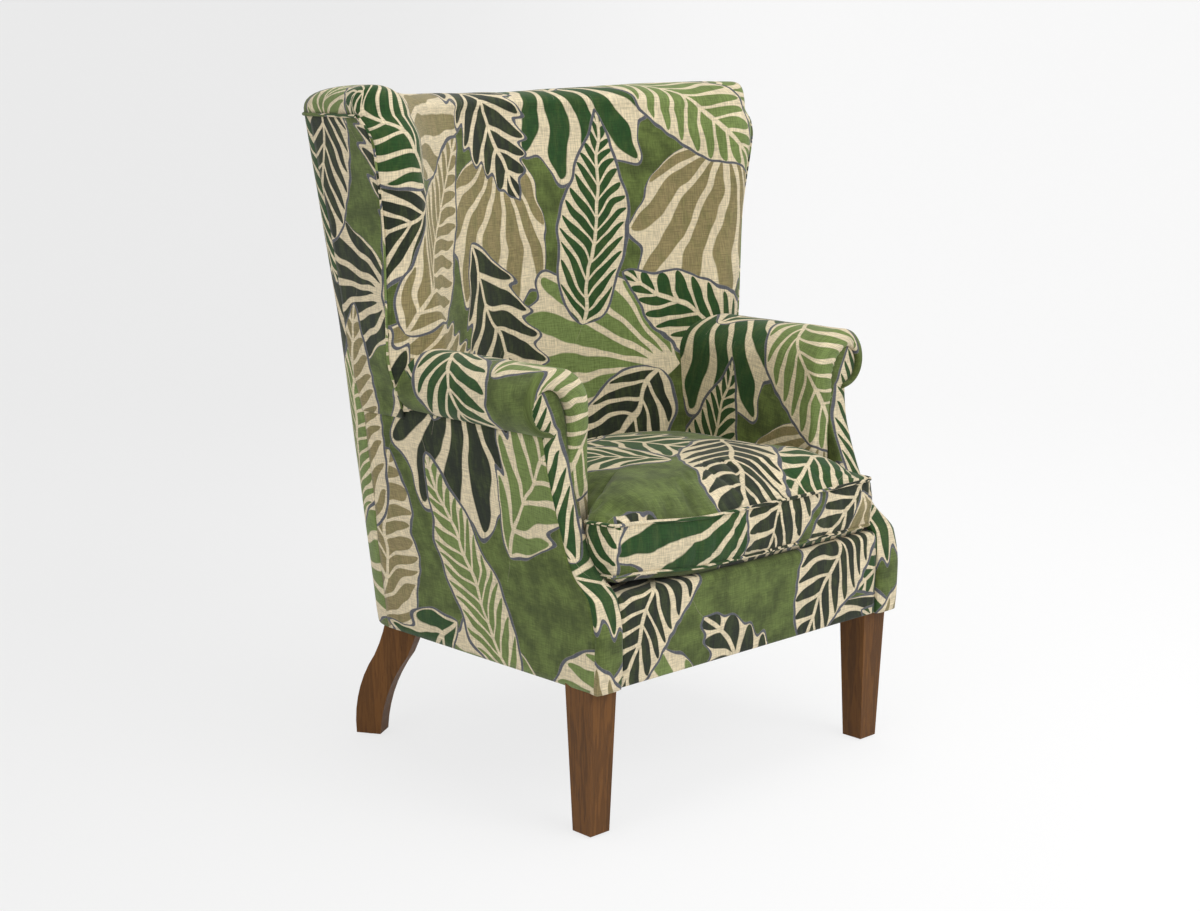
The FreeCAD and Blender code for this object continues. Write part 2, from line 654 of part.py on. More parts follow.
def make_front_border(front):
    border = box(-SEAM_X, SEAM_X, BODY_FRONT, RAIL_FRONT, UNDERSIDE, DECK_TOP)
    front_edges = [edge for edge in border.Edges if edge.BoundBox.YMax < BODY_FRONT + FIT]
    ridge = [edge for edge in front_edges if edge.BoundBox.ZMin > DECK_TOP - FIT]
    border = border.makeFillet(0.55 * BORDER_THICK, ridge)
    save("front_border", cut_all(border, both(front)))


def make_padding(wing, arm_rail):
    """Padding of the back, the wings and the arms, with the hessian and webbing behind it."""
    shell = cut_all(barrel(), both(wing))
    roof = top_roll()
    middle = box(-SEAT_HALF, SEAT_HALF, 0.0, FAR, DECK_TOP, FAR)
    beside = box(SEAT_HALF, FAR, 0.0, FAR, ARM_UNDERSIDE, FAR)
    post_rear = FACING_FRONT + FACING_LEAN + FACING_THICK + POST_DEEP + STRAP
    pad = arm_pad().cut(facing_prism(0.0, 0.0, -SEAT_HALF, post_rear)).cut(wing)
    save("inside_back", shell.common(middle).fuse(roof.common(middle)))
    inside_wing = cut_all(shell.common(beside).fuse(roof.common(beside)), (pad, arm_rail))
    save_pair("inside_wing", largest(inside_wing))
    save_pair("arm_pad", largest(pad.cut(arm_rail)))
    save("back_hessian", behind_pad(0.0, SHEET, DECK_TOP, SHELL_TOP - POST_DEEP / 2, SEAT_HALF))
    web = behind_pad(SHEET, BEHIND, DECK_TOP, SHELL_TOP - POST_DEEP / 2, SEAT_HALF)
    bands = []
    for i in range(5):
        x = (i - 2) * 0.34 * SEAT_HALF
        bands.append(web.common(box(x - STRAP_WIDE / 2, x + STRAP_WIDE / 2, 0.0, FAR, 0.0, FAR)))
    save("back_webbing", Part.makeCompound(bands))


def main():
    os.makedirs("parts", exist_ok=True)
    front = front_leg()
    rear = rear_leg()
    bolts = leg_bolts()
    make_legs(front, rear, bolts)
    wing = loft([side_strip(z, wing_front(z)) for z in BARREL_HEIGHTS[1:]])
    make_outside(front, rear, wing)
    inner = FACING_THICK
    post = facing_prism(POST_INSET, PANEL + POST_INSET, -SEAT_HALF, SEAT_HALF)
    post = post.common(front_band(inner, inner + POST_DEEP))
    save_pair("front_post", post)
    save_pair("facing", facing_prism(0.0, 0.0, -SEAT_HALF, SEAT_HALF).common(front_band(0.0, inner)))
    low_end = square(BACK_POST_X, BACK_BOTTOM - 1.3 * CORNER_RADIUS, BACK_POST, FRAME_BOTTOM)
    post_top = SHELL_TOP - POST_DEEP / 2
    high_end = square(BODY_HALF - 0.32 * WING_OUT, BACK_TOP - CORNER_RADIUS, BACK_POST, post_top)
    back_post = loft([low_end, high_end])
    arm_rail = make_back_frame(post, back_post)
    dust = make_seat_rails(post, back_post, bolts)
    save("dust_cover", cut_all(dust, both(front) + both(rear)))
    make_seat_cloth()
    make_front_border(front)
    make_padding(wing, arm_rail)
    save("seat_cushion", seat_cushion())


main()
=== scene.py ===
import math

import bpy
import numpy as np
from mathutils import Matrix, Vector


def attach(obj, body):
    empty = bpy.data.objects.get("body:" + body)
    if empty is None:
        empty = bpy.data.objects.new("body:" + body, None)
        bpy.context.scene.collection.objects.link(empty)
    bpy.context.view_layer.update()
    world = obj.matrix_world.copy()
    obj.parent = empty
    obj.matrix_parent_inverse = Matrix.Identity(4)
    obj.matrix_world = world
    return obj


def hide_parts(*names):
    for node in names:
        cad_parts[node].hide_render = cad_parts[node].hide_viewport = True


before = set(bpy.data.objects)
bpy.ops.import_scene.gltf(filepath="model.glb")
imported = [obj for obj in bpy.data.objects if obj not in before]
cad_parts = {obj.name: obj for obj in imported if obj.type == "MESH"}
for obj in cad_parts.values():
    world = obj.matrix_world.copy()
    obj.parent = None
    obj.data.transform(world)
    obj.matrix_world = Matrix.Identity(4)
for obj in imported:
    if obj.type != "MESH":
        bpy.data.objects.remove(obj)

bl_info = {
    "name": "Wing Armchair",
    "version": (1, 0, 0),
    "blender": (4, 5, 0),
    "location": "View3D > Sidebar > Armchair",
    "description": "Dresses the wing armchair's frame with its covers, cushion and legs",
    "category": "Object",
}

# Shapes are drawn in millimetres from the front of the front feet, and moved to the frame's middle.
MIDDLE = 285.3
SEAM_X = 274.5
SEAT_HALF = 237.5
BODY_FRONT = -21.0
BODY_DEPTH = 586.0
HEM_DROP = 9.0
ARM_FRONT = 84.0
DECK = 341.7
UNDERSIDE = 214.0
WING_FOOT = 551.0
SHELL_TOP = 975.0

# The facing's scroll head: its centre across and up, and its radius.
HEAD_X, HEAD_Z, HEAD_R = 312.0, 587.5, 28.7

# The loose cushion: its middle, half width between the arms, base and the heights of its two seams.
CUSHION_MIDDLE = (0.0, 196.0)
CUSHION_HALF = 235.5
CUSHION_BASE = 342.4
LOW_SEAM, HIGH_SEAM = 353.0, 424.0

# Where the cushion's top panel and the strip round its sides are cut from the cloth, in metres.
PANEL_LAY = (0.55, 0.15)
STRIP_LAY = (0.4, 0.9)
STRIP_WIDE = 0.071

CAMERA_PLACE = (-2.044, -2.131, 1.037)
CAMERA_HEADING = math.radians(43.51)
CAMERA_PITCH = math.radians(11.15)
CAMERA_LENS = 58.62

# Each line is a list of (height, value) stations.
SIDE_X = ((214, 320), (338, 322), (421, 311.5), (500, 307), (551, 308))
WING_X = ((342, 316), (551, 341), (640, 367), (790, 370), (930, 388), (975, 395), (1018, 398))
WING_Y = ((640, 360), (800, 358), (930, 353), (955, 361), (975, 379), (1018, 392))
NOSE_X = ((342, 300), (640, 326), (790, 337), (930, 347), (1018, 352))
NOSE_Y = ((800, 335), (930, 333), (955, 337), (975, 349), (1018, 372))
TURN_X = ((342, 262), (640, 275), (790, 304), (940, 312), (975, 318))
TURN_Y = ((342, 326), (640, 338), (790, 343), (940, 347), (975, 362), (1018, 384))
HOLLOW_Y = ((342, 416), (975, 503))
CORNER_X = ((214, 215), (551, 258), (975, 300.6))
CORNER_Y = ((214, 450), (551, 458), (975, 523))
CORNER_R = ((214, 90), (551, 85), (975, 68))
BACK_Y = ((214, 565), (551, 568), (975, 595))
FACING_Y = (
    (206, -23), (240, -26), (282, -26.5), (338, -16), (374, 23), (445, 58), (520, 80), (570, 85), (650, 85),
)
FACING_X = (
    (206, 320), (338, 322), (384, 317), (440, 314), (500, 313.4), (540, 315.2), (552, 316.2), (558, 316.6),
)
# By distance across: how far the top roll rises from its middle height, 0, to its height at the wings, 1.
TOP_SWELL = (
    (-340, 1), (-300, 0.97), (-255, 0.55), (-218, 0.12), (-171, -0.1), (-100, 0), (0, 0), (84, 0.25), (139, 0.42),
    (193, 0.66), (252, 0.9), (310, 1.08), (350, 1.1),
)


def colour(text):
    """Linear colour from a hex code."""
    parts = [int(text[i:i + 2], 16) / 255 for i in (0, 2, 4)]
    return tuple(p / 12.92 if p <= 0.04045 else ((p + 0.055) / 1.055) ** 2.4 for p in parts)


def length_setting(name, words, default):
    return bpy.props.FloatProperty(name=name, description=words, default=default, min=0.0, unit="LENGTH")


def power_setting(name, words, default):
    return bpy.props.FloatProperty(name=name, description=words, default=default, min=0.0)


def colour_setting(name, words, code):
    return bpy.props.FloatVectorProperty(
        name=name, description=words, default=colour(code), subtype="COLOR", size=3, min=0.0, max=1.0
    )


class CoverSizes(bpy.types.PropertyGroup):
    cloth: length_setting("Cover thickness", "How thick the cloth with its wadding is", 0.004)
    roll: length_setting("Top roll", "Height of the padded roll over the frame at the wings", 0.043)
    middle_roll: length_setting("Middle roll", "Height of the padded roll at the middle of the back", 0.028)
    lip: length_setting("Arm lip", "How far the arm padding swells in front of the facing", 0.0135)
    welt: length_setting("Welt radius", "Radius of the covered cord in the seams", 0.0026)
    crown: length_setting("Cushion crown", "How high the cushion rises above its upper seam", 0.042)
    corner_lift: length_setting("Corner lift", "How far the cushion's near front corner stands up", 0.013)


class ClothColours(bpy.types.PropertyGroup):
    ground: colour_setting("Ground", "Olive ground between the leaves", "536030")
    cream: colour_setting("Cream", "Pale body of the leaves", "d3c5a6")
    deep: colour_setting("Deep green", "Deep green leaflets", "23431d")
    dark: colour_setting("Dark green", "Nearly black green leaflets", "22281d")
    light: colour_setting("Light green", "Light green leaflets", "6e7f47")
    taupe: colour_setting("Taupe", "Brown grey leaflets", "8a7d57")
    line: colour_setting("Line", "Slate line round each leaf", "55575d")
    motif: length_setting("Leaf spacing", "Width of the square that each leaf is drawn in", 0.39)


class WoodColours(bpy.types.PropertyGroup):
    pale: colour_setting("Pale grain", "Lighter wood between the grain lines", "774f28")
    rich: colour_setting("Rich grain", "Darker grain lines", "543619")


class StageLook(bpy.types.PropertyGroup):
    left: colour_setting("Backdrop left", "Backdrop colour on the camera's left", "f1f1f1")
    right: colour_setting("Backdrop right", "Backdrop colour on the camera's right", "ffffff")
    key: power_setting("Key lamp", "Power of the large soft lamp", 59.0)
    fill: power_setting("Fill lamp", "Power of the second soft lamp", 26.0)
    top: power_setting("Top lamp", "Power of the lamp overhead", 29.0)


# Lines and surfaces

def track(z, stations):
    """Smooth value at height z between (height, value) stations, without overshoot."""
    xs, ys = np.array(stations, float).T
    run = np.diff(xs)
    slope = np.diff(ys) / run
    ends = np.zeros(len(xs))
    same = slope[:-1] * slope[1:] > 0
    both = np.where(same, slope[:-1] + slope[1:], 1.0)
    ends[1:-1] = np.where(same, 2 * slope[:-1] * slope[1:] / both, 0.0)
    ends[0], ends[-1] = slope[0], slope[-1]
    z = np.clip(np.asarray(z, float), xs[0], xs[-1])
    i = np.clip(np.searchsorted(xs, z) - 1, 0, len(run) - 1)
    t = (z - xs[i]) / run[i]
    a = (2 * t ** 3 - 3 * t ** 2 + 1) * ys[i] + (t ** 3 - 2 * t ** 2 + t) * run[i] * ends[i]
    return a + (3 * t ** 2 - 2 * t ** 3) * ys[i + 1] + (t ** 3 - t ** 2) * run[i] * ends[i + 1]


def bow(a, b, c, count):
    """Points on the circle from a through b to c."""
    a, b, c = (np.array(p, float) for p in (a, b, c))
    lean = 2 * (a[0] * (b[1] - c[1]) + b[0] * (c[1] - a[1]) + c[0] * (a[1] - b[1]))
    aa, bb, cc = a @ a, b @ b, c @ c
    centre = np.array([
        aa * (b[1] - c[1]) + bb * (c[1] - a[1]) + cc * (a[1] - b[1]),
        aa * (c[0] - b[0]) + bb * (a[0] - c[0]) + cc * (b[0] - a[0]),
    ]) / lean
    start, middle, end = (math.atan2(*(p - centre)[::-1]) for p in (a, b, c))
    turn = (end - start) % (2 * math.pi)
    if (middle - start) % (2 * math.pi) > turn:
        turn -= 2 * math.pi
    angles = start + turn * np.linspace(0, 1, count)
    return centre + np.linalg.norm(a - centre) * np.stack([np.cos(angles), np.sin(angles)], -1)


def lengths(points):
    """Distance along a line of points, from its start."""
    steps = np.linalg.norm(np.diff(points, axis=0), axis=1)
    return np.concatenate([[0.0], np.cumsum(steps)])


def settle(thing, **settings):
    """Sets properties of a Blender thing and hands it back."""
    for key, value in settings.items():
        setattr(thing, key, value)
    return thing


def placed(points, where):
    """Points at the given distances along a line."""
    along = lengths(points)
    return np.stack([np.interp(where, along, column) for column in points.T], -1)


def spaced(points, count):
    """The same line with evenly spaced points."""
    return placed(points, np.linspace(0, lengths(points)[-1], count))


def raised(flat, height):
    """Plan points at one height, or each at its own."""
    return np.concatenate([flat, np.broadcast_to(np.reshape(height, (-1, 1)), (len(flat), 1))], -1)


def flipped(points):
    """Mirror image across the chair's centre plane."""
    out = np.array(points, float)
    out[..., 0] *= -1
    return out


def soft(points, passes):
    """Evens out a line's corners, its ends staying where they are."""
    for turn in range(passes):
        points[..., 1:-1, :] = (points[..., :-2, :] + 2 * points[..., 1:-1, :] + points[..., 2:, :]) / 4
    return points


def ease(x):
    """Smooth rise from 0 to 1."""
    x = np.clip(x, 0, 1)
    return x * x * (3 - 2 * x)


def waves(lay, seed):
    """Slow uneven swell over a cover, between -1 and 1."""
    u, v = lay[..., 0], lay[..., 1]
    total = np.zeros_like(u)
    rng = np.random.default_rng(seed)
    for size in (0.23, 0.15, 0.1, 0.07):
        for turn in range(2):
            angle, phase, other = rng.uniform(0, 2 * math.pi, 3)
            a = (u * math.cos(angle) + v * math.sin(angle)) / size * 2 * math.pi + phase
            b = (v * math.cos(angle) - u * math.sin(angle)) / (1.7 * size) * 2 * math.pi + other
            total += np.sin(a) * np.sin(b) * size
    return total / 0.9


def metres(points):
    """Drawn millimetres as metres in the frame."""
    out = np.asarray(points, float) / 1000
    out[..., 1] -= MIDDLE / 1000
    return out


def flat_lay(grid):
    """Cloth coordinates in metres: across from the middle column, up from the lowest row."""
    steps_across = np.linalg.norm(np.diff(grid, axis=1), axis=2)
    steps_up = np.linalg.norm(np.diff(grid, axis=0), axis=2)
    across = np.concatenate([np.zeros_like(grid[:, :1, 0]), np.cumsum(steps_across, 1)], 1)
    up = np.concatenate([np.zeros_like(grid[:1, :, 0]), np.cumsum(steps_up, 0)], 0)
    across -= across[:, across.shape[1] // 2][:, None]
    return np.stack([across, up], -1) / 1000


def push(grid, amount, first=0):
    """Moves a cover's points out along its normals, from the given row on."""
    out = np.cross(np.gradient(grid, axis=1), np.gradient(grid, axis=0))
    out /= np.maximum(np.linalg.norm(out, axis=2, keepdims=True), 1e-9)
    grid[first:] += out[first:] * amount[first:, :, None]


def grid_faces(rows, columns):
    """Corner numbers of the faces between rows of points."""
    r, c = np.meshgrid(np.arange(rows - 1), np.arange(columns - 1), indexing="ij")
    a = (r * columns + c).reshape(-1)
    return np.stack([a, a + 1, a + 1 + columns, a + columns], -1)


def new_piece(name, points, faces, flat=None):
    """Smooth mesh object, with the cloth coordinates of its faces' corners."""
    mesh = bpy.data.meshes.new(name)
    mesh.from_pydata(points.tolist(), [], faces)
    if flat is not None:
        layer = mesh.uv_layers.new(name="cloth")
        layer.data.foreach_set("uv", flat.reshape(-1).astype(np.float32))
    mesh.polygons.foreach_set("use_smooth", [True] * len(mesh.polygons))
    mesh.update()
    piece = bpy.data.objects.new(name, mesh)
    bpy.context.scene.collection.objects.link(piece)
    return piece


def cover(name, grid, lay, keep=None, turned=False, thick=None):
    """Cloth piece from rows of points; keep says which of its faces stay."""
    quads = grid_faces(*grid.shape[:2])
    if keep is not None:
        quads = quads[keep.reshape(-1)]
    if turned:
        quads = quads[:, ::-1]
    used, index = np.unique(quads, return_inverse=True)
    points = metres(grid).reshape(-1, 3)[used]
    piece = new_piece(name, points, index.reshape(-1, 4).tolist(), lay.reshape(-1, 2)[quads])
    thick = thick or bpy.context.scene.armchair_covers.cloth
    shell = piece.modifiers.new("cloth and wadding", "SOLIDIFY")
    settle(shell, thickness=thick, offset=-1.0, use_even_offset=False)
    return piece


def pair(name, grid, lay, thick=None):
    """Right cover and its mirror image, each with its side's name."""
    for side, points, turned in (("right", grid, False), ("left", flipped(grid), True)):
        yield side, cover(name + side, points, lay, turned=turned, thick=thick)


def tube(name, path, radius, closed=False, start=(0.0, 0.0)):
    """Covered cord along a path in millimetres, its cloth starting at a place on the roll."""
    path = np.asarray(path, float)
    count = len(path)
    ahead = np.roll(path, -1, 0) - np.roll(path, 1, 0)
    if not closed:
        ahead[0], ahead[-1] = path[1] - path[0], path[-1] - path[-2]
    ahead /= np.linalg.norm(ahead, axis=1, keepdims=True)
    side = np.cross(ahead, (0.0, 0.0, 1.0))
    upright = np.linalg.norm(side, axis=1) < 0.35
    side[upright] = np.cross(ahead[upright], (0.0, 1.0, 0.0))
    for i in range(1, count):
        if side[i] @ side[i - 1] < 0:
            side[i] *= -1
    side /= np.linalg.norm(side, axis=1, keepdims=True)
    other = np.cross(ahead, side)
    angles = np.linspace(0, 2 * math.pi, 11)
    ring = np.cos(angles)[None, :, None] * side[:, None] + np.sin(angles)[None, :, None] * other[:, None]
    grid = path[:, None] + radius * 1000 * ring
    grid[:, -1] = grid[:, 0]
    if closed:
        grid = np.concatenate([grid, grid[:1]])
        path = np.concatenate([path, path[:1]])
    along = lengths(path)[:, None] / 1000
    lay = np.stack(np.broadcast_arrays(start[0] + along, start[1] + radius * angles[None]), -1)
    piece = cover(name, grid, lay, turned=True)
    piece.modifiers.clear()
    settle(piece.modifiers.new("join round", "WELD"), merge_threshold=0.00002)
    return piece


# Plans of the padding and of the outside

def inner_rows(heights, count):
    """Padding's line at each height, from the left wing seam round the hollow to the right one."""
    rows = []
    stations = ((WING_X, WING_Y), (NOSE_X, NOSE_Y), (TURN_X, TURN_Y))
    for z in heights:
        seam, nose, turn = ((track(z, a), track(z, b)) for a, b in stations)
        hollow = (0.0, track(z, HOLLOW_Y))
        big = bow((-turn[0], turn[1]), hollow, turn, 241)
        half = np.concatenate([big[120:], bow(turn, nose, seam, 60)[1:]])
        whole = np.concatenate([flipped(half)[:0:-1], half])
        rows.append(spaced(whole, 461))
    lines = soft(np.array(rows), 44)
    return np.array([spaced(line, count) for line in lines])


def corner(z):
    """Centre, radius and back face of the right rear corner."""
    return track(z, CORNER_X), track(z, CORNER_Y), track(z, CORNER_R), track(z, BACK_Y)


def side_run(z, front, count):
    """Straight run from the front point to the start of the rear corner."""
    cx, cy, r = corner(z)[:3]
    away = (front[0] - cx, front[1] - cy)
    angle = math.atan2(away[1], away[0]) + math.acos(r / math.hypot(*away))
    end = np.array([cx + r * math.cos(angle), cy + r * math.sin(angle)])
    share = np.linspace(0, 1, count)[:, None]
    return np.array(front) * (1 - share) + end * share, angle


def rear_run(z, angle, corner_count, back_count):
    """Round the right rear corner to the middle of the back."""
    cx, cy, r, back = corner(z)
    gap = cy - back
    big = (r * r - gap * gap - cx * cx) / (2 * (gap + r))
    last = math.atan2(cy - (back - big), cx)
    turn = np.linspace(angle, last, corner_count)
    bend = np.stack([cx + r * np.cos(turn), cy + r * np.sin(turn)], -1)
    sweep = np.linspace(math.atan2(bend[-1, 1] - (back - big), bend[-1, 0]), math.pi / 2, back_count)
    rest = np.stack([big * np.cos(sweep), back - big + big * np.sin(sweep)], -1)
    return np.concatenate([bend, rest[1:]])


def wing_front(z):
    return float(track(z, WING_X)), float(track(z, WING_Y))


def hem(y):
    """Lower edge of the outside, dropping a little to the rear."""
    return UNDERSIDE - HEM_DROP * (y - BODY_FRONT) / BODY_DEPTH


def facing_half(z):
    """Inner and outer edge of the facing at a height."""
    inner, outer = SEAM_X, float(track(min(z, 558), FACING_X))
    if z > 558:
        outer = HEAD_X + math.sqrt(max(0.0, HEAD_R ** 2 - (z - HEAD_Z) ** 2))
    if z > 560:
        cheek = bow((SEAM_X, 560), (278, 580), (285, 597), 20)
        brow = bow((285, 597), (296, 611.5), (HEAD_X, 616.2), 20)
        curve = np.concatenate([cheek, brow[1:]])
        inner = float(np.interp(z, curve[:, 1], curve[:, 0]))
    return inner, max(inner, outer)


# Cloth, wood and the other finishes

class Wire:
    """Number at a node's output; reckoning with it places the nodes that work out the result."""

    def __init__(self, sheet, socket):
        self.sheet, self.socket = sheet, socket

    def __add__(self, other):
        return self.sheet.sum("ADD", self, other)

    def __radd__(self, other):
        return self.sheet.sum("ADD", other, self)

    def __sub__(self, other):
        return self.sheet.sum("SUBTRACT", self, other)

    def __rsub__(self, other):
        return self.sheet.sum("SUBTRACT", other, self)

    def __mul__(self, other):
        return self.sheet.sum("MULTIPLY", self, other)

    def __truediv__(self, other):
        return self.sheet.sum("DIVIDE", self, other)

    def __rtruediv__(self, other):
        return self.sheet.sum("DIVIDE", other, self)

    def __pow__(self, other):
        return self.sheet.sum("POWER", self, other)

    def __abs__(self):
        return self.sheet.sum("ABSOLUTE", self)

    def at_least(self, low):
        return self.sheet.sum("MAXIMUM", self, low)


class Sheet:
    """Places shader nodes in a tree, each fed by numbers or by other nodes' outputs."""

    def __init__(self, tree):
        self.tree = tree

    def node(self, kind, **settings):
        return settle(self.tree.nodes.new(kind), **settings)

    def feed(self, socket, value):
        value = value.socket if isinstance(value, Wire) else value
        if isinstance(value, bpy.types.NodeSocket):
            self.tree.links.new(value, socket)
        elif value is not None:
            socket.default_value = value

    def fed(self, kind, inputs, **settings):
        """New node with its inputs fed, by name or by number."""
        made = self.node(kind, **settings)
        for key, value in inputs.items():
            self.feed(made.inputs[key], value)
        return made

    def sum(self, operation, a, b=None):
        return Wire(self, self.fed("ShaderNodeMath", {0: a, 1: b}, operation=operation).outputs[0])

    def vector(self, operation, a, b=None):
        return self.fed("ShaderNodeVectorMath", {0: a, 1: b}, operation=operation).outputs[0]

    def scaled(self, a, share):
        return self.fed("ShaderNodeVectorMath", {0: a, "Scale": share}, operation="SCALE").outputs[0]

    def split(self, value, kind="ShaderNodeSeparateXYZ"):
        """The three numbers of a place, or of a colour."""
        return [Wire(self, socket) for socket in self.fed(kind, {0: value}).outputs]

    def blend(self, share, a, b):
        return Wire(self, self.fed("ShaderNodeMix", {0: share, 2: a, 3: b}, data_type="FLOAT").outputs[0])

    def step(self, value, low, high, kind="SMOOTHSTEP"):
        """Rise from 0 to 1 as the value goes from low to high."""
        inputs = {"Value": value, "From Min": low, "From Max": high}
        return Wire(self, self.fed("ShaderNodeMapRange", inputs, interpolation_type=kind).outputs[0])

    def sharp(self, value, low, high):
        return self.step(value, low, high, "LINEAR")

    def mix(self, share, a, b):
        """Colour between two colours."""
        a, b = ((*tone, 1.0) if isinstance(tone, tuple) else tone for tone in (a, b))
        return self.fed("ShaderNodeMix", {0: share, 6: a, 7: b}, data_type="RGBA").outputs[2]

    def noise(self, place, scale, detail=2.0, rough=0.5, stretch=None, size="3D", out="Fac"):
        if stretch:
            place = self.fed("ShaderNodeMapping", {"Vector": place, "Scale": stretch}).outputs[0]
        inputs = {"Vector": place, "Scale": scale, "Detail": detail, "Roughness": rough}
        return Wire(self, self.fed("ShaderNodeTexNoise", inputs, noise_dimensions=size).outputs[out])

    def group(self, group, **inputs):
        return self.fed("ShaderNodeGroup", inputs, node_tree=group).outputs

    def finish(self, shader, colour, rough, height, strength, distance, **constants):
        """Feeds a shader its colour, its roughness and its bump, which is in metres."""
        bump = self.fed("ShaderNodeBump", {"Strength": strength, "Distance": distance, "Height": height})
        fed = {"Base Color": colour, "Roughness": rough, "Normal": bump.outputs[0]}
        for key, value in fed.items():
            self.feed(shader.inputs[key], value)
        for key, value in constants.items():
            shader.inputs[key.replace("_", " ")].default_value = value


def new_group(name, inputs, outputs):
    """Empty node group with named inputs and outputs."""
    group = bpy.data.node_groups.new(name, "ShaderNodeTree")
    for sockets, way in ((inputs, "INPUT"), (outputs, "OUTPUT")):
        for key, kind in sockets.items():
            group.interface.new_socket(key, in_out=way, socket_type="NodeSocket" + kind)
    sheet = Sheet(group)
    given = sheet.node("NodeGroupInput").outputs
    return group, sheet, {key: Wire(sheet, given[key]) for key in inputs}, sheet.node("NodeGroupOutput").inputs


def scatter_group():
    """Gives each square of the cloth a leaf place of its own, turned by chance, and its chances."""
    group, s, given, out = new_group(
        "leaf places",
        {"Cloth": "Vector", "Square": "Float", "Shift": "Vector", "Lean": "Float", "Swing": "Float", "Number": "Float"},
        {"Place": "Vector", "Chance": "Color"},
    )
    moved = s.vector("ADD", s.scaled(given["Cloth"], 1.0 / given["Square"]), given["Shift"])
    layer = s.fed("ShaderNodeCombineXYZ", {2: given["Number"]}).outputs[0]
    cell = s.vector("ADD", s.vector("FLOOR", moved), layer)
    chance = s.fed("ShaderNodeTexWhiteNoise", {"Vector": cell}, noise_dimensions="3D").outputs
    own = s.vector("SUBTRACT", s.vector("FRACTION", moved), (0.5, 0.5, 0.0))
    third = s.split(chance["Color"], "ShaderNodeSeparateColor")[2]
    swing = (Wire(s, chance["Value"]) - 0.5) * (given["Swing"] * 2.0)
    upturn = s.sum("GREATER_THAN", third, 0.5) * math.pi
    angle = given["Lean"] + swing + upturn
    face = s.fed("ShaderNodeVectorRotate", {"Vector": own, "Angle": angle}, rotation_type="Z_AXIS")
    s.feed(out["Place"], face.outputs[0])
    s.feed(out["Chance"], chance["Color"])
    return group


def leaf_group(name):
    """Empty group of one leaf, which is drawn in a square that is 1 wide."""
    return new_group(name, {"Place": "Vector"}, {"Body": "Float", "Edge": "Float", "Leaflets": "Float"})


def draw_leaf(s, out, room, leaflets):
    """Leaf from the room left inside its outline: its body, and the line drawn round it."""
    body = s.sharp(room, -0.001, 0.001)
    s.feed(out["Body"], body)
    s.feed(out["Edge"], body - s.sharp(room, 0.0125, 0.0145))
    s.feed(out["Leaflets"], leaflets)


def frond_group(name, pairs, rake, width, lobes, bulge):
    """Leaf with rounded pairs along a middle rib: separate leaflets, or deep lobes."""
    group, s, given, out = leaf_group(name)
    x, y = s.split(given["Place"])[:2]
    across = abs(x - 0.02 + y * y * 0.22)
    inside = s.sum("MINIMUM", ((y + 0.45) / 0.90).at_least(0.0), 1.0)
    half = s.sum("SINE", inside ** bulge * math.pi).at_least(0.0) ** 0.72 * width
    share = across / half.at_least(0.001)
    place = s.sum("FRACT", inside * pairs - across * rake) - 0.5
    scallop = (s.sum("COSINE", place * (2 * math.pi)) - 1.0) * lobes
    rounded = s.sum("SQRT", (1.0 - (share * 1.13) ** 2.0).at_least(0.0))
    leaflets = s.sharp(rounded * 0.40 - abs(place), -0.02, 0.02) * s.sharp(across, 0.007, 0.010)
    draw_leaf(s, out, half * (1.0 + scallop) - across, leaflets)
    return group


def fan_group(name, rays, spread):
    """Leaf that opens like a fan from its stalk, with tapering rays."""
    group, s, given, out = leaf_group(name)
    x, y = s.split(given["Place"])[:2]
    up = y + 0.40
    angle = s.sum("ARCTAN2", x, up)
    reach = s.sum("SQRT", abs(x) ** 2.0 + abs(up) ** 2.0)
    place = s.sum("FRACT", angle * (rays / (2 * math.pi)) + 0.5) - 0.5
    frill = 0.955 + s.sum("COSINE", place * (2 * math.pi)) * 0.045
    narrow = s.sum("COSINE", angle * spread).at_least(0.0) ** 0.7
    limit = narrow * 0.80 * frill
    share = reach / limit.at_least(0.01)
    taper = s.sum("SQRT", (1.0 - (abs(share - 0.56) * 2.5) ** 2.0).at_least(0.0))
    draw_leaf(s, out, limit - reach, s.sharp(taper * 0.36 - abs(place), -0.02, 0.02))
    return group


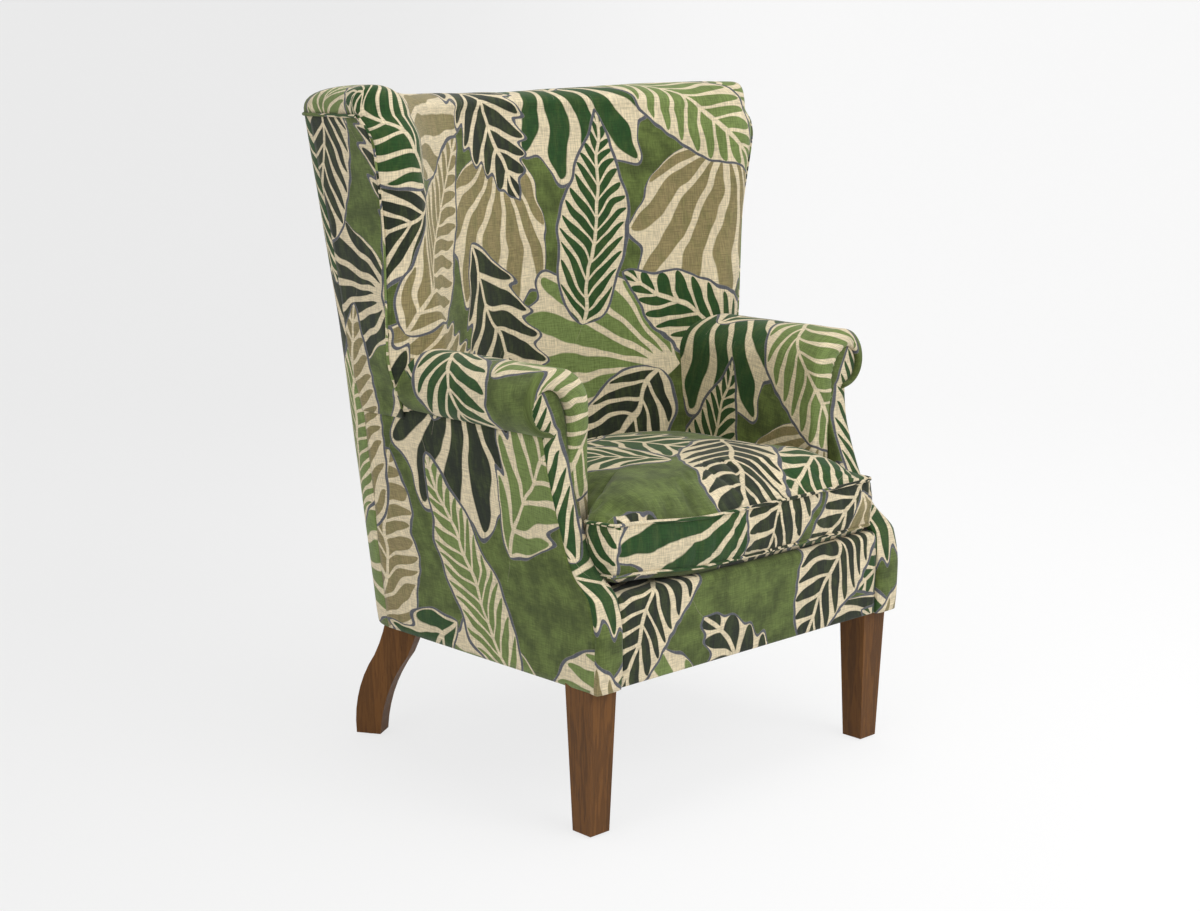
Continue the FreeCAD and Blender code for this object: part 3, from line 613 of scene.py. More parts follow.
def leaf_print():
    """Whole printed design: layers of scattered leaves over a mottled ground."""
    colours = bpy.context.scene.armchair_cloth
    tones = {key: tuple(getattr(colours, key)) for key in ("ground", "cream", "deep", "dark", "light", "taupe", "line")}
    group, s, given, out = new_group("leaf print", {"Cloth": "Vector"}, {"Colour": "Color"})
    cloth = given["Cloth"]
    waver = s.vector("SUBTRACT", s.noise(cloth, 9.0, 1.6, size="2D", out="Color"), (0.5, 0.5, 0.5))
    drawn = s.vector("ADD", s.vector("MULTIPLY", waver, (0.042, 0.042, 0.0)), cloth)
    mottle = s.noise(cloth, 26.0, 4.0, 0.65, size="2D")
    low, bright = (tuple(min(1.0, t * share) for t in tones["ground"]) for share in (0.70, 1.32))
    result = s.mix(s.step(mottle, 0.3, 0.7), low, bright)
    scatter = scatter_group()
    frond = frond_group("paired leaflets", pairs=11.0, rake=12.0, width=0.205, lobes=0.012, bulge=0.82)
    lobed = frond_group("lobed leaf", pairs=8.0, rake=8.0, width=0.235, lobes=0.11, bulge=0.9)
    long_leaf = frond_group("narrow leaf", pairs=14.0, rake=18.0, width=0.165, lobes=0.0, bulge=0.75)
    fan = fan_group("fan leaf", rays=25.0, spread=1.55)
    # Each layer has two kinds of leaf, its shift, its lean and swing, and the share of squares that are filled.
    layers = (
        (fan, frond, (0.5, 0.02, 0.0), 0.4, 3.1, 0.62), (lobed, fan, (0.04, 0.5, 0.0), -0.9, 3.1, 0.58),
        (frond, lobed, (0.5, 0.5, 0.0), -0.62, 0.5, 1.0), (long_leaf, frond, (0.0, 0.0, 0.0), 0.38, 0.5, 0.97),
    )
    ink = s.step(s.noise(cloth, 60.0, 3.0, 0.7, stretch=(1.0, 0.35, 1.0), size="2D"), 0.38, 0.75)
    tone_stops = ((0.0, "deep"), (0.34, "light"), (0.56, "dark"), (0.83, "taupe"))
    for number, (first, second, shift, lean, swing, filled) in enumerate(layers):
        spot = s.group(
            scatter, Cloth=drawn, Square=colours.motif, Shift=shift, Lean=lean, Swing=swing, Number=number + 11.5
        )
        hue, presence, kind = s.split(spot["Chance"], "ShaderNodeSeparateColor")
        other = s.sum("GREATER_THAN", s.sum("FRACT", kind * 7.0), 0.5)
        one, two = (s.group(leaf, Place=spot["Place"]) for leaf in (first, second))
        body, edge, leaflets = (s.blend(other, one[key], two[key]) for key in ("Body", "Edge", "Leaflets"))
        ramp = s.fed("ShaderNodeValToRGB", {0: hue})
        ramp.color_ramp.interpolation = "CONSTANT"
        elements = ramp.color_ramp.elements
        for stop, key in tone_stops[2:]:
            elements.new(stop)
        for element, (stop, key) in zip(elements, tone_stops):
            element.position = stop
            element.color = (*tones[key], 1.0)
        inked = ramp.outputs[0]
        tone = s.mix(ink, inked, s.mix(0.3, inked, tones["ground"]))
        leaf_colour = s.mix(edge, s.mix(leaflets, tones["cream"], tone), tones["line"])
        result = s.mix(body * s.sum("LESS_THAN", presence, filled), result, leaf_colour)
    s.feed(out["Colour"], result)
    return group


def plain_material(name):
    """New material with its shader and a sheet to draw nodes on."""
    material = bpy.data.materials.new(name)
    material.use_nodes = True
    return material, Sheet(material.node_tree), material.node_tree.nodes["Principled BSDF"]


def printed_linen(name, shift=(0.0, 0.0), turn=0.0):
    """Heavy linen printed with leaves; each cover is cut from its own place on the roll."""
    group = bpy.data.node_groups.get("leaf print") or leaf_print()
    material, s, shader = plain_material(name)
    lay = s.node("ShaderNodeUVMap", uv_map="cloth").outputs[0]
    place = s.fed(
        "ShaderNodeMapping", {"Vector": lay, "Location": (*shift, 0.0), "Rotation": (0.0, 0.0, turn)}
    ).outputs[0]
    ways = ((42.0, 700.0, 1.0), (700.0, 42.0, 1.0))
    threads, other = (s.noise(place, 1.0, 2.0, 0.6, stretch=way, size="2D") for way in ways)
    slub = threads * 0.5 + other * 0.5
    patchy = s.noise(place, 9.0, 3.0, 0.6, size="2D")
    level = s.step(slub, 0.36, 0.64) * 0.46 + patchy * 0.18 + 0.70
    tinted = s.scaled(s.group(group, Cloth=place)[0], level)
    s.finish(
        shader, tinted, slub * 0.15 + 0.80, slub, 0.5, 0.0008,
        Specular_IOR_Level=0.25, Sheen_Weight=0.12, Sheen_Roughness=0.5,
    )
    return material


def grained_wood(name, along=2):
    """Oiled brown hardwood with long grain, along the given axis."""
    tones = bpy.context.scene.armchair_wood
    rich, pale = tuple(tones.rich), tuple(tones.pale)
    material, s, shader = plain_material(name)
    place = s.node("ShaderNodeTexCoord").outputs["Object"]
    coarse = tuple(3.2 if axis == along else 38.0 for axis in range(3))
    fine = tuple(22.0 if axis == along else 620.0 for axis in range(3))
    swirl = s.noise(place, 1.0, 5.0, 0.62, stretch=coarse)
    pores = s.step(s.noise(place, 1.0, 3.0, 0.7, stretch=fine), 0.58, 0.70)
    bands = s.sum("SINE", swirl * 46.0)
    figure = s.step(bands, -1.0, 1.0) * 0.45 + s.step(swirl, 0.3, 0.7) * 0.55
    base = s.mix(pores * 0.55, s.mix(figure, rich, pale), tuple(t * 0.45 for t in rich))
    s.finish(shader, base, figure * 0.12 + 0.50, 1.0 - pores, 0.35, 0.0004, Specular_IOR_Level=0.2)
    return material


def rough_material(name, code, spread, scale, rough=0.8, metal=0.0):
    """Plain workshop material: its colour varies with fine noise."""
    material, s, shader = plain_material(name)
    fleck = s.noise(s.node("ShaderNodeTexCoord").outputs["Object"], scale, 3.0, 0.65)
    low, high = (tuple(min(1.0, c * share) for c in colour(code)) for share in (1 - spread, 1 + spread))
    shade = s.mix(s.step(fleck, 0.3, 0.7), low, high)
    s.finish(shader, shade, fleck * 0.2 + (rough - 0.1), fleck, 0.3, 0.0004, Metallic=metal)
    return material


def dress(piece, material, slot, body, *nodes):
    """Gives a piece its material and its body, and hides the frame nodes that it stands for."""
    piece.data.materials.append(material)
    if nodes:
        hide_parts(*nodes)
    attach(piece, body)
    return piece


class MakingStep:
    """What all the operators share"""

    bl_options = {"REGISTER", "UNDO"}


class ARMCHAIR_OT_inside_cover(MakingStep, bpy.types.Operator):
    """Cover of the inside back and both wings, rolled over the top of the frame"""

    bl_idname = "armchair.inside_cover"
    bl_label = "Inside cover"

    def execute(self, context):
        sizes = context.scene.armchair_covers
        columns = 195
        heights = np.linspace(332, SHELL_TOP, 76)
        lines = inner_rows(heights, columns)
        rows = [raised(line, z) for line, z in zip(lines, heights)]
        side, angle = side_run(SHELL_TOP, wing_front(SHELL_TOP), 60)
        outer = np.concatenate([side, rear_run(SHELL_TOP, angle, 40, 90)[1:]])
        total = lengths(outer)[-1]
        # The roll lands on the outside: the wing's nose on its front, and its turn round the rear corner.
        inner = lines[-1]
        half = inner[columns // 2:][::-1]
        share = lengths(half) / lengths(half)[-1]
        turn = share[np.argmin(np.linalg.norm(half - (318, 362), axis=1))]
        bend, far = (share[np.argmin(np.abs(half[:, 0] - x) + 100 * (share < turn))] for x in (285, 240))
        side_end = lengths(side)[-1] / total
        match = track(share, ((0, 0), (turn, 62 / total), (bend, side_end), (far, side_end + 80 / total), (1, 1)))
        landing = placed(outer, match * total)[::-1]
        landing = np.concatenate([flipped(landing)[:0:-1], landing])
        across = landing - inner
        wide = np.linalg.norm(across, axis=1)
        ahead = across / np.maximum(wide, 1.0)[:, None]
        rise = 1000 * (sizes.middle_roll + (sizes.roll - sizes.middle_roll) * track(inner[:, 0], TOP_SWELL))
        rise = rise * np.sqrt(1 - (1 - np.clip(wide / 82, 0, 1)) ** 2)
        aside = ease((np.abs(inner[:, 0]) - 230) / 60)
        for step in np.linspace(0, math.pi, 23)[1:]:
            bulge = 6.0 * math.sin(min(2 * step, math.pi)) * (1 - aside) * np.clip(wide / 20, 0, 1)
            bulge += 7.0 * math.sin(min(math.pi - 2 * step, 0.0)) * aside * np.clip(wide / 8, 0, 1)
            flat = inner + across * (1 - math.cos(step)) / 2 - ahead * bulge[:, None]
            blunt = 0.78 + 0.24 * aside * (step < math.pi / 2)
            rows.append(raised(flat, SHELL_TOP + rise * math.sin(step) ** blunt))
        grid = np.array(rows)
        lay = flat_lay(grid)
        push(grid, 1.7 * waves(lay, seed=4))
        # Behind the arm pads the cover is cut away.
        middle = (grid[:-1, :-1] + grid[1:, 1:]) / 2
        keep = (np.abs(middle[..., 0]) < 246) | (middle[..., 2] > 556)
        piece = cover("inside_cover", grid, lay, keep)
        cloth = printed_linen("linen inside", (0.07, 0.11))
        dress(piece, cloth, "leaf_cloth", "chair", "inside_back", "inside_wing_left", "inside_wing_right")
        return {"FINISHED"}


def arm_lines():
    """Matching points of the arm's section and of the facing's outline, from the deck up and over."""
    counts = (44, 16, 14, 12, 4)
    arm = (
        ((SEAT_HALF, 335), (SEAT_HALF, 585)), ((SEAT_HALF, 585), (253, 626), (300, 644)),
        ((300, 644), (340, 630), (354, 597)), ((354, 597), (343, 565), (318, 551)), ((318, 551), (304, 549)),
    )
    head = (
        ((SEAM_X, 335), (SEAM_X, 560)), ((SEAM_X, 560), (280, 591), (300, 613.5)),
        ((300, 613.5), (332, 608), (340.5, HEAD_Z)), ((340.5, HEAD_Z), (332, 567.5), (HEAD_X, 559)),
        ((HEAD_X, 559), (306, 555)),
    )
    out = []
    for parts in (arm, head):
        points = []
        for part, count in zip(parts, counts):
            line = spaced(np.array(part, float), count + 1) if len(part) == 2 else bow(*part, count + 1)
            points.append(line[:-1])
        points.append(line[-1:])
        out.append(soft(np.concatenate(points), 2))
    return out


class ARMCHAIR_OT_arm_covers(MakingStep, bpy.types.Operator):
    """Padded inner arms and rolls, gathered in front round the facings' heads"""

    bl_idname = "armchair.arm_covers"
    bl_label = "Arm covers"

    def execute(self, context):
        lip = 1000 * context.scene.armchair_covers.lip
        section, head = arm_lines()
        columns = []
        # The roll's rear end closes against the wing.
        outer = np.maximum(section[:, 0] - 316, 0)
        for y in np.concatenate([np.linspace(392, 352, 14), np.linspace(346, ARM_FRONT, 36)]):
            closing = 1 - math.sqrt(max(0.0, 1 - max(0.0, (y - 356) / 20) ** 2)) if y < 376 else 1.0
            columns.append(np.stack([section[:, 0] - outer * closing, np.full(len(section), y), section[:, 1]], -1))
        # In front it swells over the facing's edge and is gathered in pleats round the head.
        around = lengths(section)
        curved = ease((section[:, 1] - 540) / 25)
        proud = (0.55 + 0.45 * curved) * (1 - 0.4 * ease((section[:, 0] - 305) / 40))
        folds = np.sin(around / 10.5 * 2 * math.pi + 0.8 * np.sin(around / 31)) * curved
        for share in np.linspace(0, 1, 15)[1:]:
            mixed = (1 - math.cos(math.pi * share ** 0.8)) / 2
            flat = section * (1 - mixed) + head * mixed
            pleat = 1.5 * ease((share - 0.3) / 0.6) * folds
            y = ARM_FRONT - lip * math.sin(math.pi * share) ** 0.7 * proud + pleat
            columns.append(np.stack([flat[:, 0], y, flat[:, 1]], -1))
        columns.append(columns[-1] + (0, 12, 0))
        grid = np.stack(columns, 1)
        lay = flat_lay(grid)
        weight = np.ones(grid.shape[1])
        weight[-9:] = np.linspace(1, 0, 9)
        push(grid, 1.6 * waves(lay * 1.3, seed=9) * weight)
        cloth = printed_linen("linen arms", (0.31, 0.52), 0.2)
        for side, piece in pair("arm_cover_", grid, lay):
            dress(piece, cloth, "leaf_cloth", "chair", "arm_pad_" + side)
        return {"FINISHED"}


class ARMCHAIR_OT_facings(MakingStep, bpy.types.Operator):
    """Slim padded facings on the fronts of both arms"""

    bl_idname = "armchair.facings"
    bl_label = "Arm facings"

    def execute(self, context):
        head_heights = HEAD_Z + 28.6 * np.sin(np.linspace(-1.25, math.pi / 2, 26))
        heights = np.concatenate([np.linspace(213, 557, 58), head_heights])
        heights = heights[np.concatenate([[True], np.diff(heights) > 0.01])]
        # Three columns on each side wrap round the edge and back along the post.
        across = np.concatenate([[0.0, 0.0, 0.0], np.linspace(0.0, 1.0, 15), [1.0, 1.0, 1.0]])
        back = np.concatenate([[34.0, 12.0, 2.4], np.zeros(15), [2.4, 12.0, 34.0]])
        pillow = 2.6 * (1 - np.abs(2 * across - 1) ** 3.5)
        grid = []
        for z in heights:
            low, high = facing_half(z)
            x = low + (high - low) * across
            x[:3] -= 0.4
            x[-3:] += (0.2, -1.4, -4.0)
            y = track(z, FACING_Y) + back - pillow * min(1.0, (high - low) / 25)
            y[0] = max(y[0], ARM_FRONT + 10)
            grid.append(np.stack([x, y, np.full(len(x), z)], -1))
        grid = np.array(grid)
        cloth = printed_linen("linen facings", (0.93, 0.22))
        for side, piece in pair("facing_cover_", grid, flat_lay(grid), thick=0.002):
            dress(piece, cloth, "leaf_cloth", "chair", "facing_" + side)
        return {"FINISHED"}


class ARMCHAIR_OT_outside_covers(MakingStep, bpy.types.Operator):
    """Tight covers of the outside arms, outside wings and outside back"""

    bl_idname = "armchair.outside_covers"
    bl_label = "Outside covers"

    top = 557.0
    thick = 0.0025

    def arm(self):
        """Outside arm, tucked under at its hem; its swell starts behind the facing's edge."""
        rows = []
        for share in np.linspace(0, 1, 40):
            z = UNDERSIDE + (self.top - UNDERSIDE) * share
            run, angle = side_run(z, (track(z, SIDE_X), -40.0), 2)
            y = np.linspace(track(z, FACING_Y) + 3.5, run[1, 1] + 0.5, 56)
            x = np.interp(y, run[:, 1], run[:, 0])
            rows.append(np.stack([x, y, hem(y) + (self.top - hem(y)) * share], -1))
        grid = np.array([rows[0] + (-16, 0, 1.5), rows[0] + (-1.0, 0, -0.6)] + rows[1:])
        lay = flat_lay(grid)
        push(grid, ease((grid[..., 1] - grid[:, :1, 1]) / 40) * waves(lay, seed=17), first=2)
        return grid, lay

    def wing(self, arm, arm_lay):
        """Outside wing, whose print runs on from the arm's."""
        grid = np.array([raised(side_run(z, wing_front(z), 20)[0], z) for z in np.linspace(545, SHELL_TOP, 46)])
        lay = flat_lay(grid)
        at_arm, at_wing = (np.argmin(np.abs(part[:, -1, 2] - WING_FOOT)) for part in (arm, grid))
        for way in (0, 1):
            there = np.interp(430, arm[at_arm, :, 1], arm_lay[at_arm, :, way])
            lay[..., way] += there - np.interp(430, grid[at_wing, :, 1], lay[at_wing, :, way])
        push(grid, 0.9 + 0.7 * waves(lay, seed=21) * np.sin(np.linspace(0, math.pi, 20)))
        return grid, lay

    def back(self):
        """Outside back, round both rear corners."""
        rows = []
        for z in np.linspace(UNDERSIDE, SHELL_TOP, 84):
            front = (track(z, SIDE_X), -40.0) if z < WING_FOOT else wing_front(z)
            half = rear_run(z, side_run(z, front, 2)[1], 24, 60)
            line = np.concatenate([half, flipped(half)[-2::-1]])
            rows.append(raised(line, z if z > UNDERSIDE else hem(line[:, 1])))
        rim = rows[0] * (0.997, 0.997, 1.0) - (0, 0, 0.4)
        tuck = rows[0] * (0.95, 0.965, 1.0) + (0, 0, 1.5)
        grid = np.array([tuck, rim] + rows[1:])
        lay = flat_lay(grid)
        push(grid, 0.9 * waves(lay, seed=33), first=2)
        return grid, lay

    def execute(self, context):
        arm = self.arm()
        wing = self.wing(*arm)
        cloth = printed_linen("linen outside", (0.58, 0.83))
        sides = zip(pair("outside_arm_cover_", *arm, self.thick), pair("outside_wing_cover_", *wing, self.thick))
        for (side, lower), (side, upper) in sides:
            dress(lower, cloth, "leaf_cloth", "chair", "outside_arm_" + side)
            dress(upper, cloth, "leaf_cloth", "chair", "outside_wing_" + side)
        piece = cover("outside_back_cover", *self.back(), thick=self.thick)
        dress(piece, printed_linen("linen back", (0.22, 0.64)), "leaf_cloth", "chair", "outside_back")
        return {"FINISHED"}


class ARMCHAIR_OT_seat_border(MakingStep, bpy.types.Operator):
    """Front border and the deck under the cushion, in one length of cloth"""

    bl_idname = "armchair.seat_border"
    bl_label = "Seat border and deck"

    def execute(self, context):
        round_edge = np.linspace(0, math.pi / 2, 8)
        profile = [(10.0, 215.5), (-14.0, 214.6), (-19.6, 213.4), (BODY_FRONT - 0.3, 215.5)]
        profile += [(BODY_FRONT - 1.4 * math.sin(math.pi * (z - 214) / 128), z) for z in np.linspace(221, 328, 24)]
        profile += [(BODY_FRONT + 12 - 12 * math.cos(a), DECK - 12 + 12 * math.sin(a)) for a in round_edge]
        profile += [(y, DECK + 0.1) for y in np.linspace(4, 440, 34)]
        profile = np.array(profile)
        x = np.linspace(-SEAM_X + 0.2, SEAM_X - 0.2, 80)
        edge = 1.8 * ease((np.abs(x) - SEAM_X + 9) / 9)
        grid = np.array([np.stack([x, y + edge * (y < 0), np.full(80, z)], -1) for y, z in profile])
        lay = flat_lay(grid)
        push(grid, 0.8 * waves(lay, seed=41), first=4)
        piece = cover("seat_border_cover", grid, lay)
        dress(piece, printed_linen("linen border", (0.4, 0.05)), "leaf_cloth", "chair", "front_border", "seat_deck")
        return {"FINISHED"}


def cushion_outline(count):
    """T-shaped outline of the loose cushion, starting at the rear middle."""
    radius, centre = 422.3, -10.2
    corner_y = centre + math.sqrt(radius ** 2 - CUSHION_HALF ** 2)
    turn = np.linspace(math.asin(CUSHION_HALF / radius), 0, 40)
    half = [(x, -10 - 5.5 * (1 - (x / SEAM_X) ** 2)) for x in np.linspace(0, SEAM_X, 40)]
    half += [(SEAM_X, 54.0), (CUSHION_HALF, 54.5), (CUSHION_HALF, corner_y)]
    half += [(radius * math.sin(a), centre + radius * math.cos(a)) for a in turn[1:]]
    half = soft(spaced(np.array(half), 460), 46)
    loop = np.concatenate([half, flipped(half)[-2:0:-1], half[:1]])
    return np.roll(spaced(loop, count + 1)[:-1], count // 2, axis=0)


class ARMCHAIR_OT_seat_cushion(MakingStep, bpy.types.Operator):
    """Loose boxed seat cushion, filled out by a short cloth simulation"""

    bl_idname = "armchair.seat_cushion"
    bl_label = "Seat cushion"

    def form(self, line, crown):
        """Rows of points from the middle of the base, up the sides, to the middle of the top."""
        rows = [(share, CUSHION_BASE) for share in np.linspace(0.05, 0.965, 14)]
        self.low = len(rows)
        for share in np.linspace(0, 1, 9):
            rows.append((1 + 0.012 * math.sin(math.pi * share), LOW_SEAM + (HIGH_SEAM - LOW_SEAM) * share))
        self.high = len(rows) - 1
        for share in 1 - np.linspace(0, 0.955, 30)[1:] ** 1.12:
            rows.append((share, HIGH_SEAM + crown * math.sqrt(1 - share ** 3.4)))
        middle = np.array(CUSHION_MIDDLE)
        return np.array([raised(middle + (line - middle) * share, height) for share, height in rows])

    def closed(self, rows, run):
        """Closed piece of those rows; its base, side strip and top are cut from the cloth apart."""
        count, around = rows.shape[:2]
        points = np.concatenate([rows.reshape(-1, 3), rows[:1].mean(1), rows[-1:].mean(1)])
        quads = grid_faces(count, around + 1)
        r, c = np.divmod(quads, around + 1)
        quads = r * around + c % around
        flat = points[quads][..., :2] / 1000 + PANEL_LAY
        u = np.append(run, run[-1] + run[1]) / 1000 + STRIP_LAY[0]
        v = STRIP_LAY[1] + STRIP_WIDE * (r - self.low) / (self.high - self.low)
        strip = (r[:, :1] >= self.low) & (r[:, :1] < self.high)
        flat = np.where(strip[..., None], np.stack([u[c], v], -1), flat)
        faces, flats = quads.tolist(), [flat.reshape(-1, 2)]
        c = np.arange(around)
        for ring, pole, way in ((0, count * around, -1), (count - 1, count * around + 1, 1)):
            fan = np.stack([ring * around + c, ring * around + (c + 1) % around, np.full(around, pole)], -1)[:, ::way]
            faces += fan.tolist()
            flats.append(points[fan][..., :2].reshape(-1, 2) / 1000 + PANEL_LAY)
        return new_piece("seat_cushion_cover", metres(points), faces, np.concatenate(flats))

    def fill_out(self, scene, piece, held):
        """Presses the filling out against the cloth, each point moving no more than 14 mm."""
        group = piece.vertex_groups.new(name="held")
        group.add(held, 1.0, "REPLACE")
        stuffing = piece.modifiers.new("stuffing", "CLOTH")
        cloth = settle(
            stuffing.settings, quality=7, mass=0.25, tension_stiffness=22, compression_stiffness=14, shear_stiffness=8,
            bending_stiffness=0.6, shrink_min=-0.025, use_pressure=True, uniform_pressure_force=3.0,
            vertex_group_mass="held",
        )
        cloth.effector_weights.gravity = 0.0
        settle(stuffing.point_cache, frame_start=1, frame_end=20)
        before = np.array([v.co for v in piece.data.vertices])
        for number in range(1, stuffing.point_cache.frame_end + 1):
            scene.frame_set(number)
        shown = piece.evaluated_get(bpy.context.evaluated_depsgraph_get())
        after = np.array([v.co for v in shown.data.vertices])
        scene.frame_set(1)
        piece.modifiers.remove(stuffing)
        piece.vertex_groups.clear()
        move = after - before
        far = np.linalg.norm(move, axis=1, keepdims=True)
        return before + move * np.minimum(1.0, 0.014 / np.maximum(far, 1e-9))

    def execute(self, context):
        scene = context.scene
        sizes = scene.armchair_covers
        around = 280
        line = cushion_outline(around)
        run = np.linspace(0, lengths(np.concatenate([line, line[:1]]))[-1], around + 1)[:-1]
        rows = self.form(line, 1000 * sizes.crown)
        piece = self.closed(rows, run)
        points = np.array([v.co for v in piece.data.vertices])
        # The base with the lower seam and its middle, and the upper seam, stay where they are.
        held = list(range(0, (self.low + 1) * around)) + [len(points) - 2]
        held += list(range(self.high * around, (self.high + 1) * around))
        points = self.fill_out(scene, piece, held)
        # The near front corner stands up, and the far one lies a little lower.
        mm = points * 1000 + (0, MIDDLE, 0)
        mm[:, 2] += 1000 * sizes.corner_lift * (ease((-mm[:, 0] - 90) / 170) * ease((150 - mm[:, 1]) / 150))
        far_share = ease((mm[:, 0] - 170) / 90) * ease((120 - mm[:, 1]) / 120)
        mm[:, 2] -= 10 * far_share * np.clip((mm[:, 2] - HIGH_SEAM) / 16, 0, 1)
        # Between the arms it stays clear of them and of the deck.
        widest = CUSHION_HALF + 1.1
        beside = (mm[:, 1] > 60) & (np.abs(mm[:, 0]) > widest)
        mm[beside, 0] = np.sign(mm[beside, 0]) * widest
        mm[:, 2] = np.maximum(mm[:, 2], CUSHION_BASE - 0.1)
        # The cloth puckers just over the upper seam.
        grid = mm[:len(rows) * around].reshape(len(rows), around, 3)
        pucker = 0.9 * np.abs(np.sin(run / 34 * math.pi + 1.4 * np.sin(run / 71)))
        for above in range(1, 5):
            grid[self.high + above, :, 2] -= math.exp(-((above / 1.6) ** 2)) * pucker
        piece.data.vertices.foreach_set("co", metres(mm).reshape(-1).astype(np.float32))
        piece.data.update()
        cloth = printed_linen("linen cushion")
        dress(piece, cloth, "leaf_cloth", "seat_cushion", "seat_cushion")
        for name, ring, share in (("lower", self.low, 0), ("upper", self.high, 1)):
            loop = grid[ring].copy()
            out = loop[:, :2] - CUSHION_MIDDLE
            loop[:, :2] += out / np.linalg.norm(out, axis=1, keepdims=True) * 1.2
            behind = loop[:, 1] > 58
            loop[behind, 0] = np.clip(loop[behind, 0], 0.5 - CUSHION_HALF, CUSHION_HALF - 0.5)
            start = (STRIP_LAY[0], STRIP_LAY[1] + STRIP_WIDE * share)
            dress(tube("cushion_welt_" + name, loop, sizes.welt, True, start), cloth, "leaf_cloth", "seat_cushion")
        return {"FINISHED"}


class ARMCHAIR_OT_seam_welts(MakingStep, bpy.types.Operator):
    """Covered cords in the seams of the wings and along the top of the outside covers"""

    bl_idname = "armchair.seam_welts"
    bl_label = "Seam welts"

    def execute(self, context):
        radius = context.scene.armchair_covers.welt
        cloth = printed_linen("linen welts", (0.13, 0.71))
        side, angle = side_run(SHELL_TOP, wing_front(SHELL_TOP), 30)
        half = np.concatenate([side, rear_run(SHELL_TOP, angle, 24, 50)[1:]])
        back = soft(spaced(np.concatenate([half, flipped(half)[-2::-1]]), 260), 3)
        inward = np.array([0.0, 450.0]) - back
        back -= inward / np.linalg.norm(inward, axis=1, keepdims=True) * 1.2
        dress(tube("top_welt", raised(back, SHELL_TOP - 0.5), radius), cloth, "leaf_cloth", "chair")
        seam = [(track(z, WING_X) + 0.4, track(z, WING_Y) - 0.6, z) for z in np.linspace(560, SHELL_TOP, 60)]
        for name, path in (("right", seam), ("left", flipped(seam))):
            welt = tube("wing_welt_" + name, path, radius * 0.7, start=(0.2, 0.0))
            dress(welt, cloth, "leaf_cloth", "chair")
        return {"FINISHED"}


class ARMCHAIR_OT_legs(MakingStep, bpy.types.Operator):
    """Grain and eased edges for the legs, and finishes for everything under the cloth"""

    bl_idname = "armchair.legs"
    bl_label = "Legs and frame"

    def execute(self, context):
        leg = grained_wood("leg wood")
        rail = grained_wood("rail wood", along=0)
        bearer = grained_wood("side rail wood", along=1)
        webbing = rough_material("jute webbing", "b08d57", spread=0.3, scale=900.0)
        hessian = rough_material("hessian", "b79c6e", spread=0.3, scale=1200.0)
        base = rough_material("black base cloth", "1c1c1d", spread=0.3, scale=1500.0)
        steel = rough_material("zinc bolts", "9c9fa1", spread=0.12, scale=200.0, rough=0.4, metal=1.0)
        glide = rough_material("glide plastic", "2b2926", spread=0.15, scale=400.0, rough=0.5)
        finishes = (
            (("front_leg", "rear_leg"), leg), (("glides",), glide), (("leg_bolts",), steel), (("dust_cover",), base),
            (("seat_straps", "back_webbing"), webbing), (("back_hessian", "seat_hessian"), hessian),
            (("side_rail", "arm_rail", "tack_rail"), bearer), (("front_post", "back_post", "wing_post"), leg),
            (("",), rail),
        )
        for name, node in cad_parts.items():
            material = next(m for starts, m in finishes if name.startswith(starts))
            for place in node.material_slots:
                place.material = material
            if not node.material_slots:
                node.data.materials.append(material)
            if name.startswith(("front_leg", "rear_leg")):
                eased = node.modifiers.new("eased edges", "BEVEL")
                settle(eased, width=0.0016, segments=2, limit_method="ANGLE", angle_limit=math.radians(40))
        return {"FINISHED"}


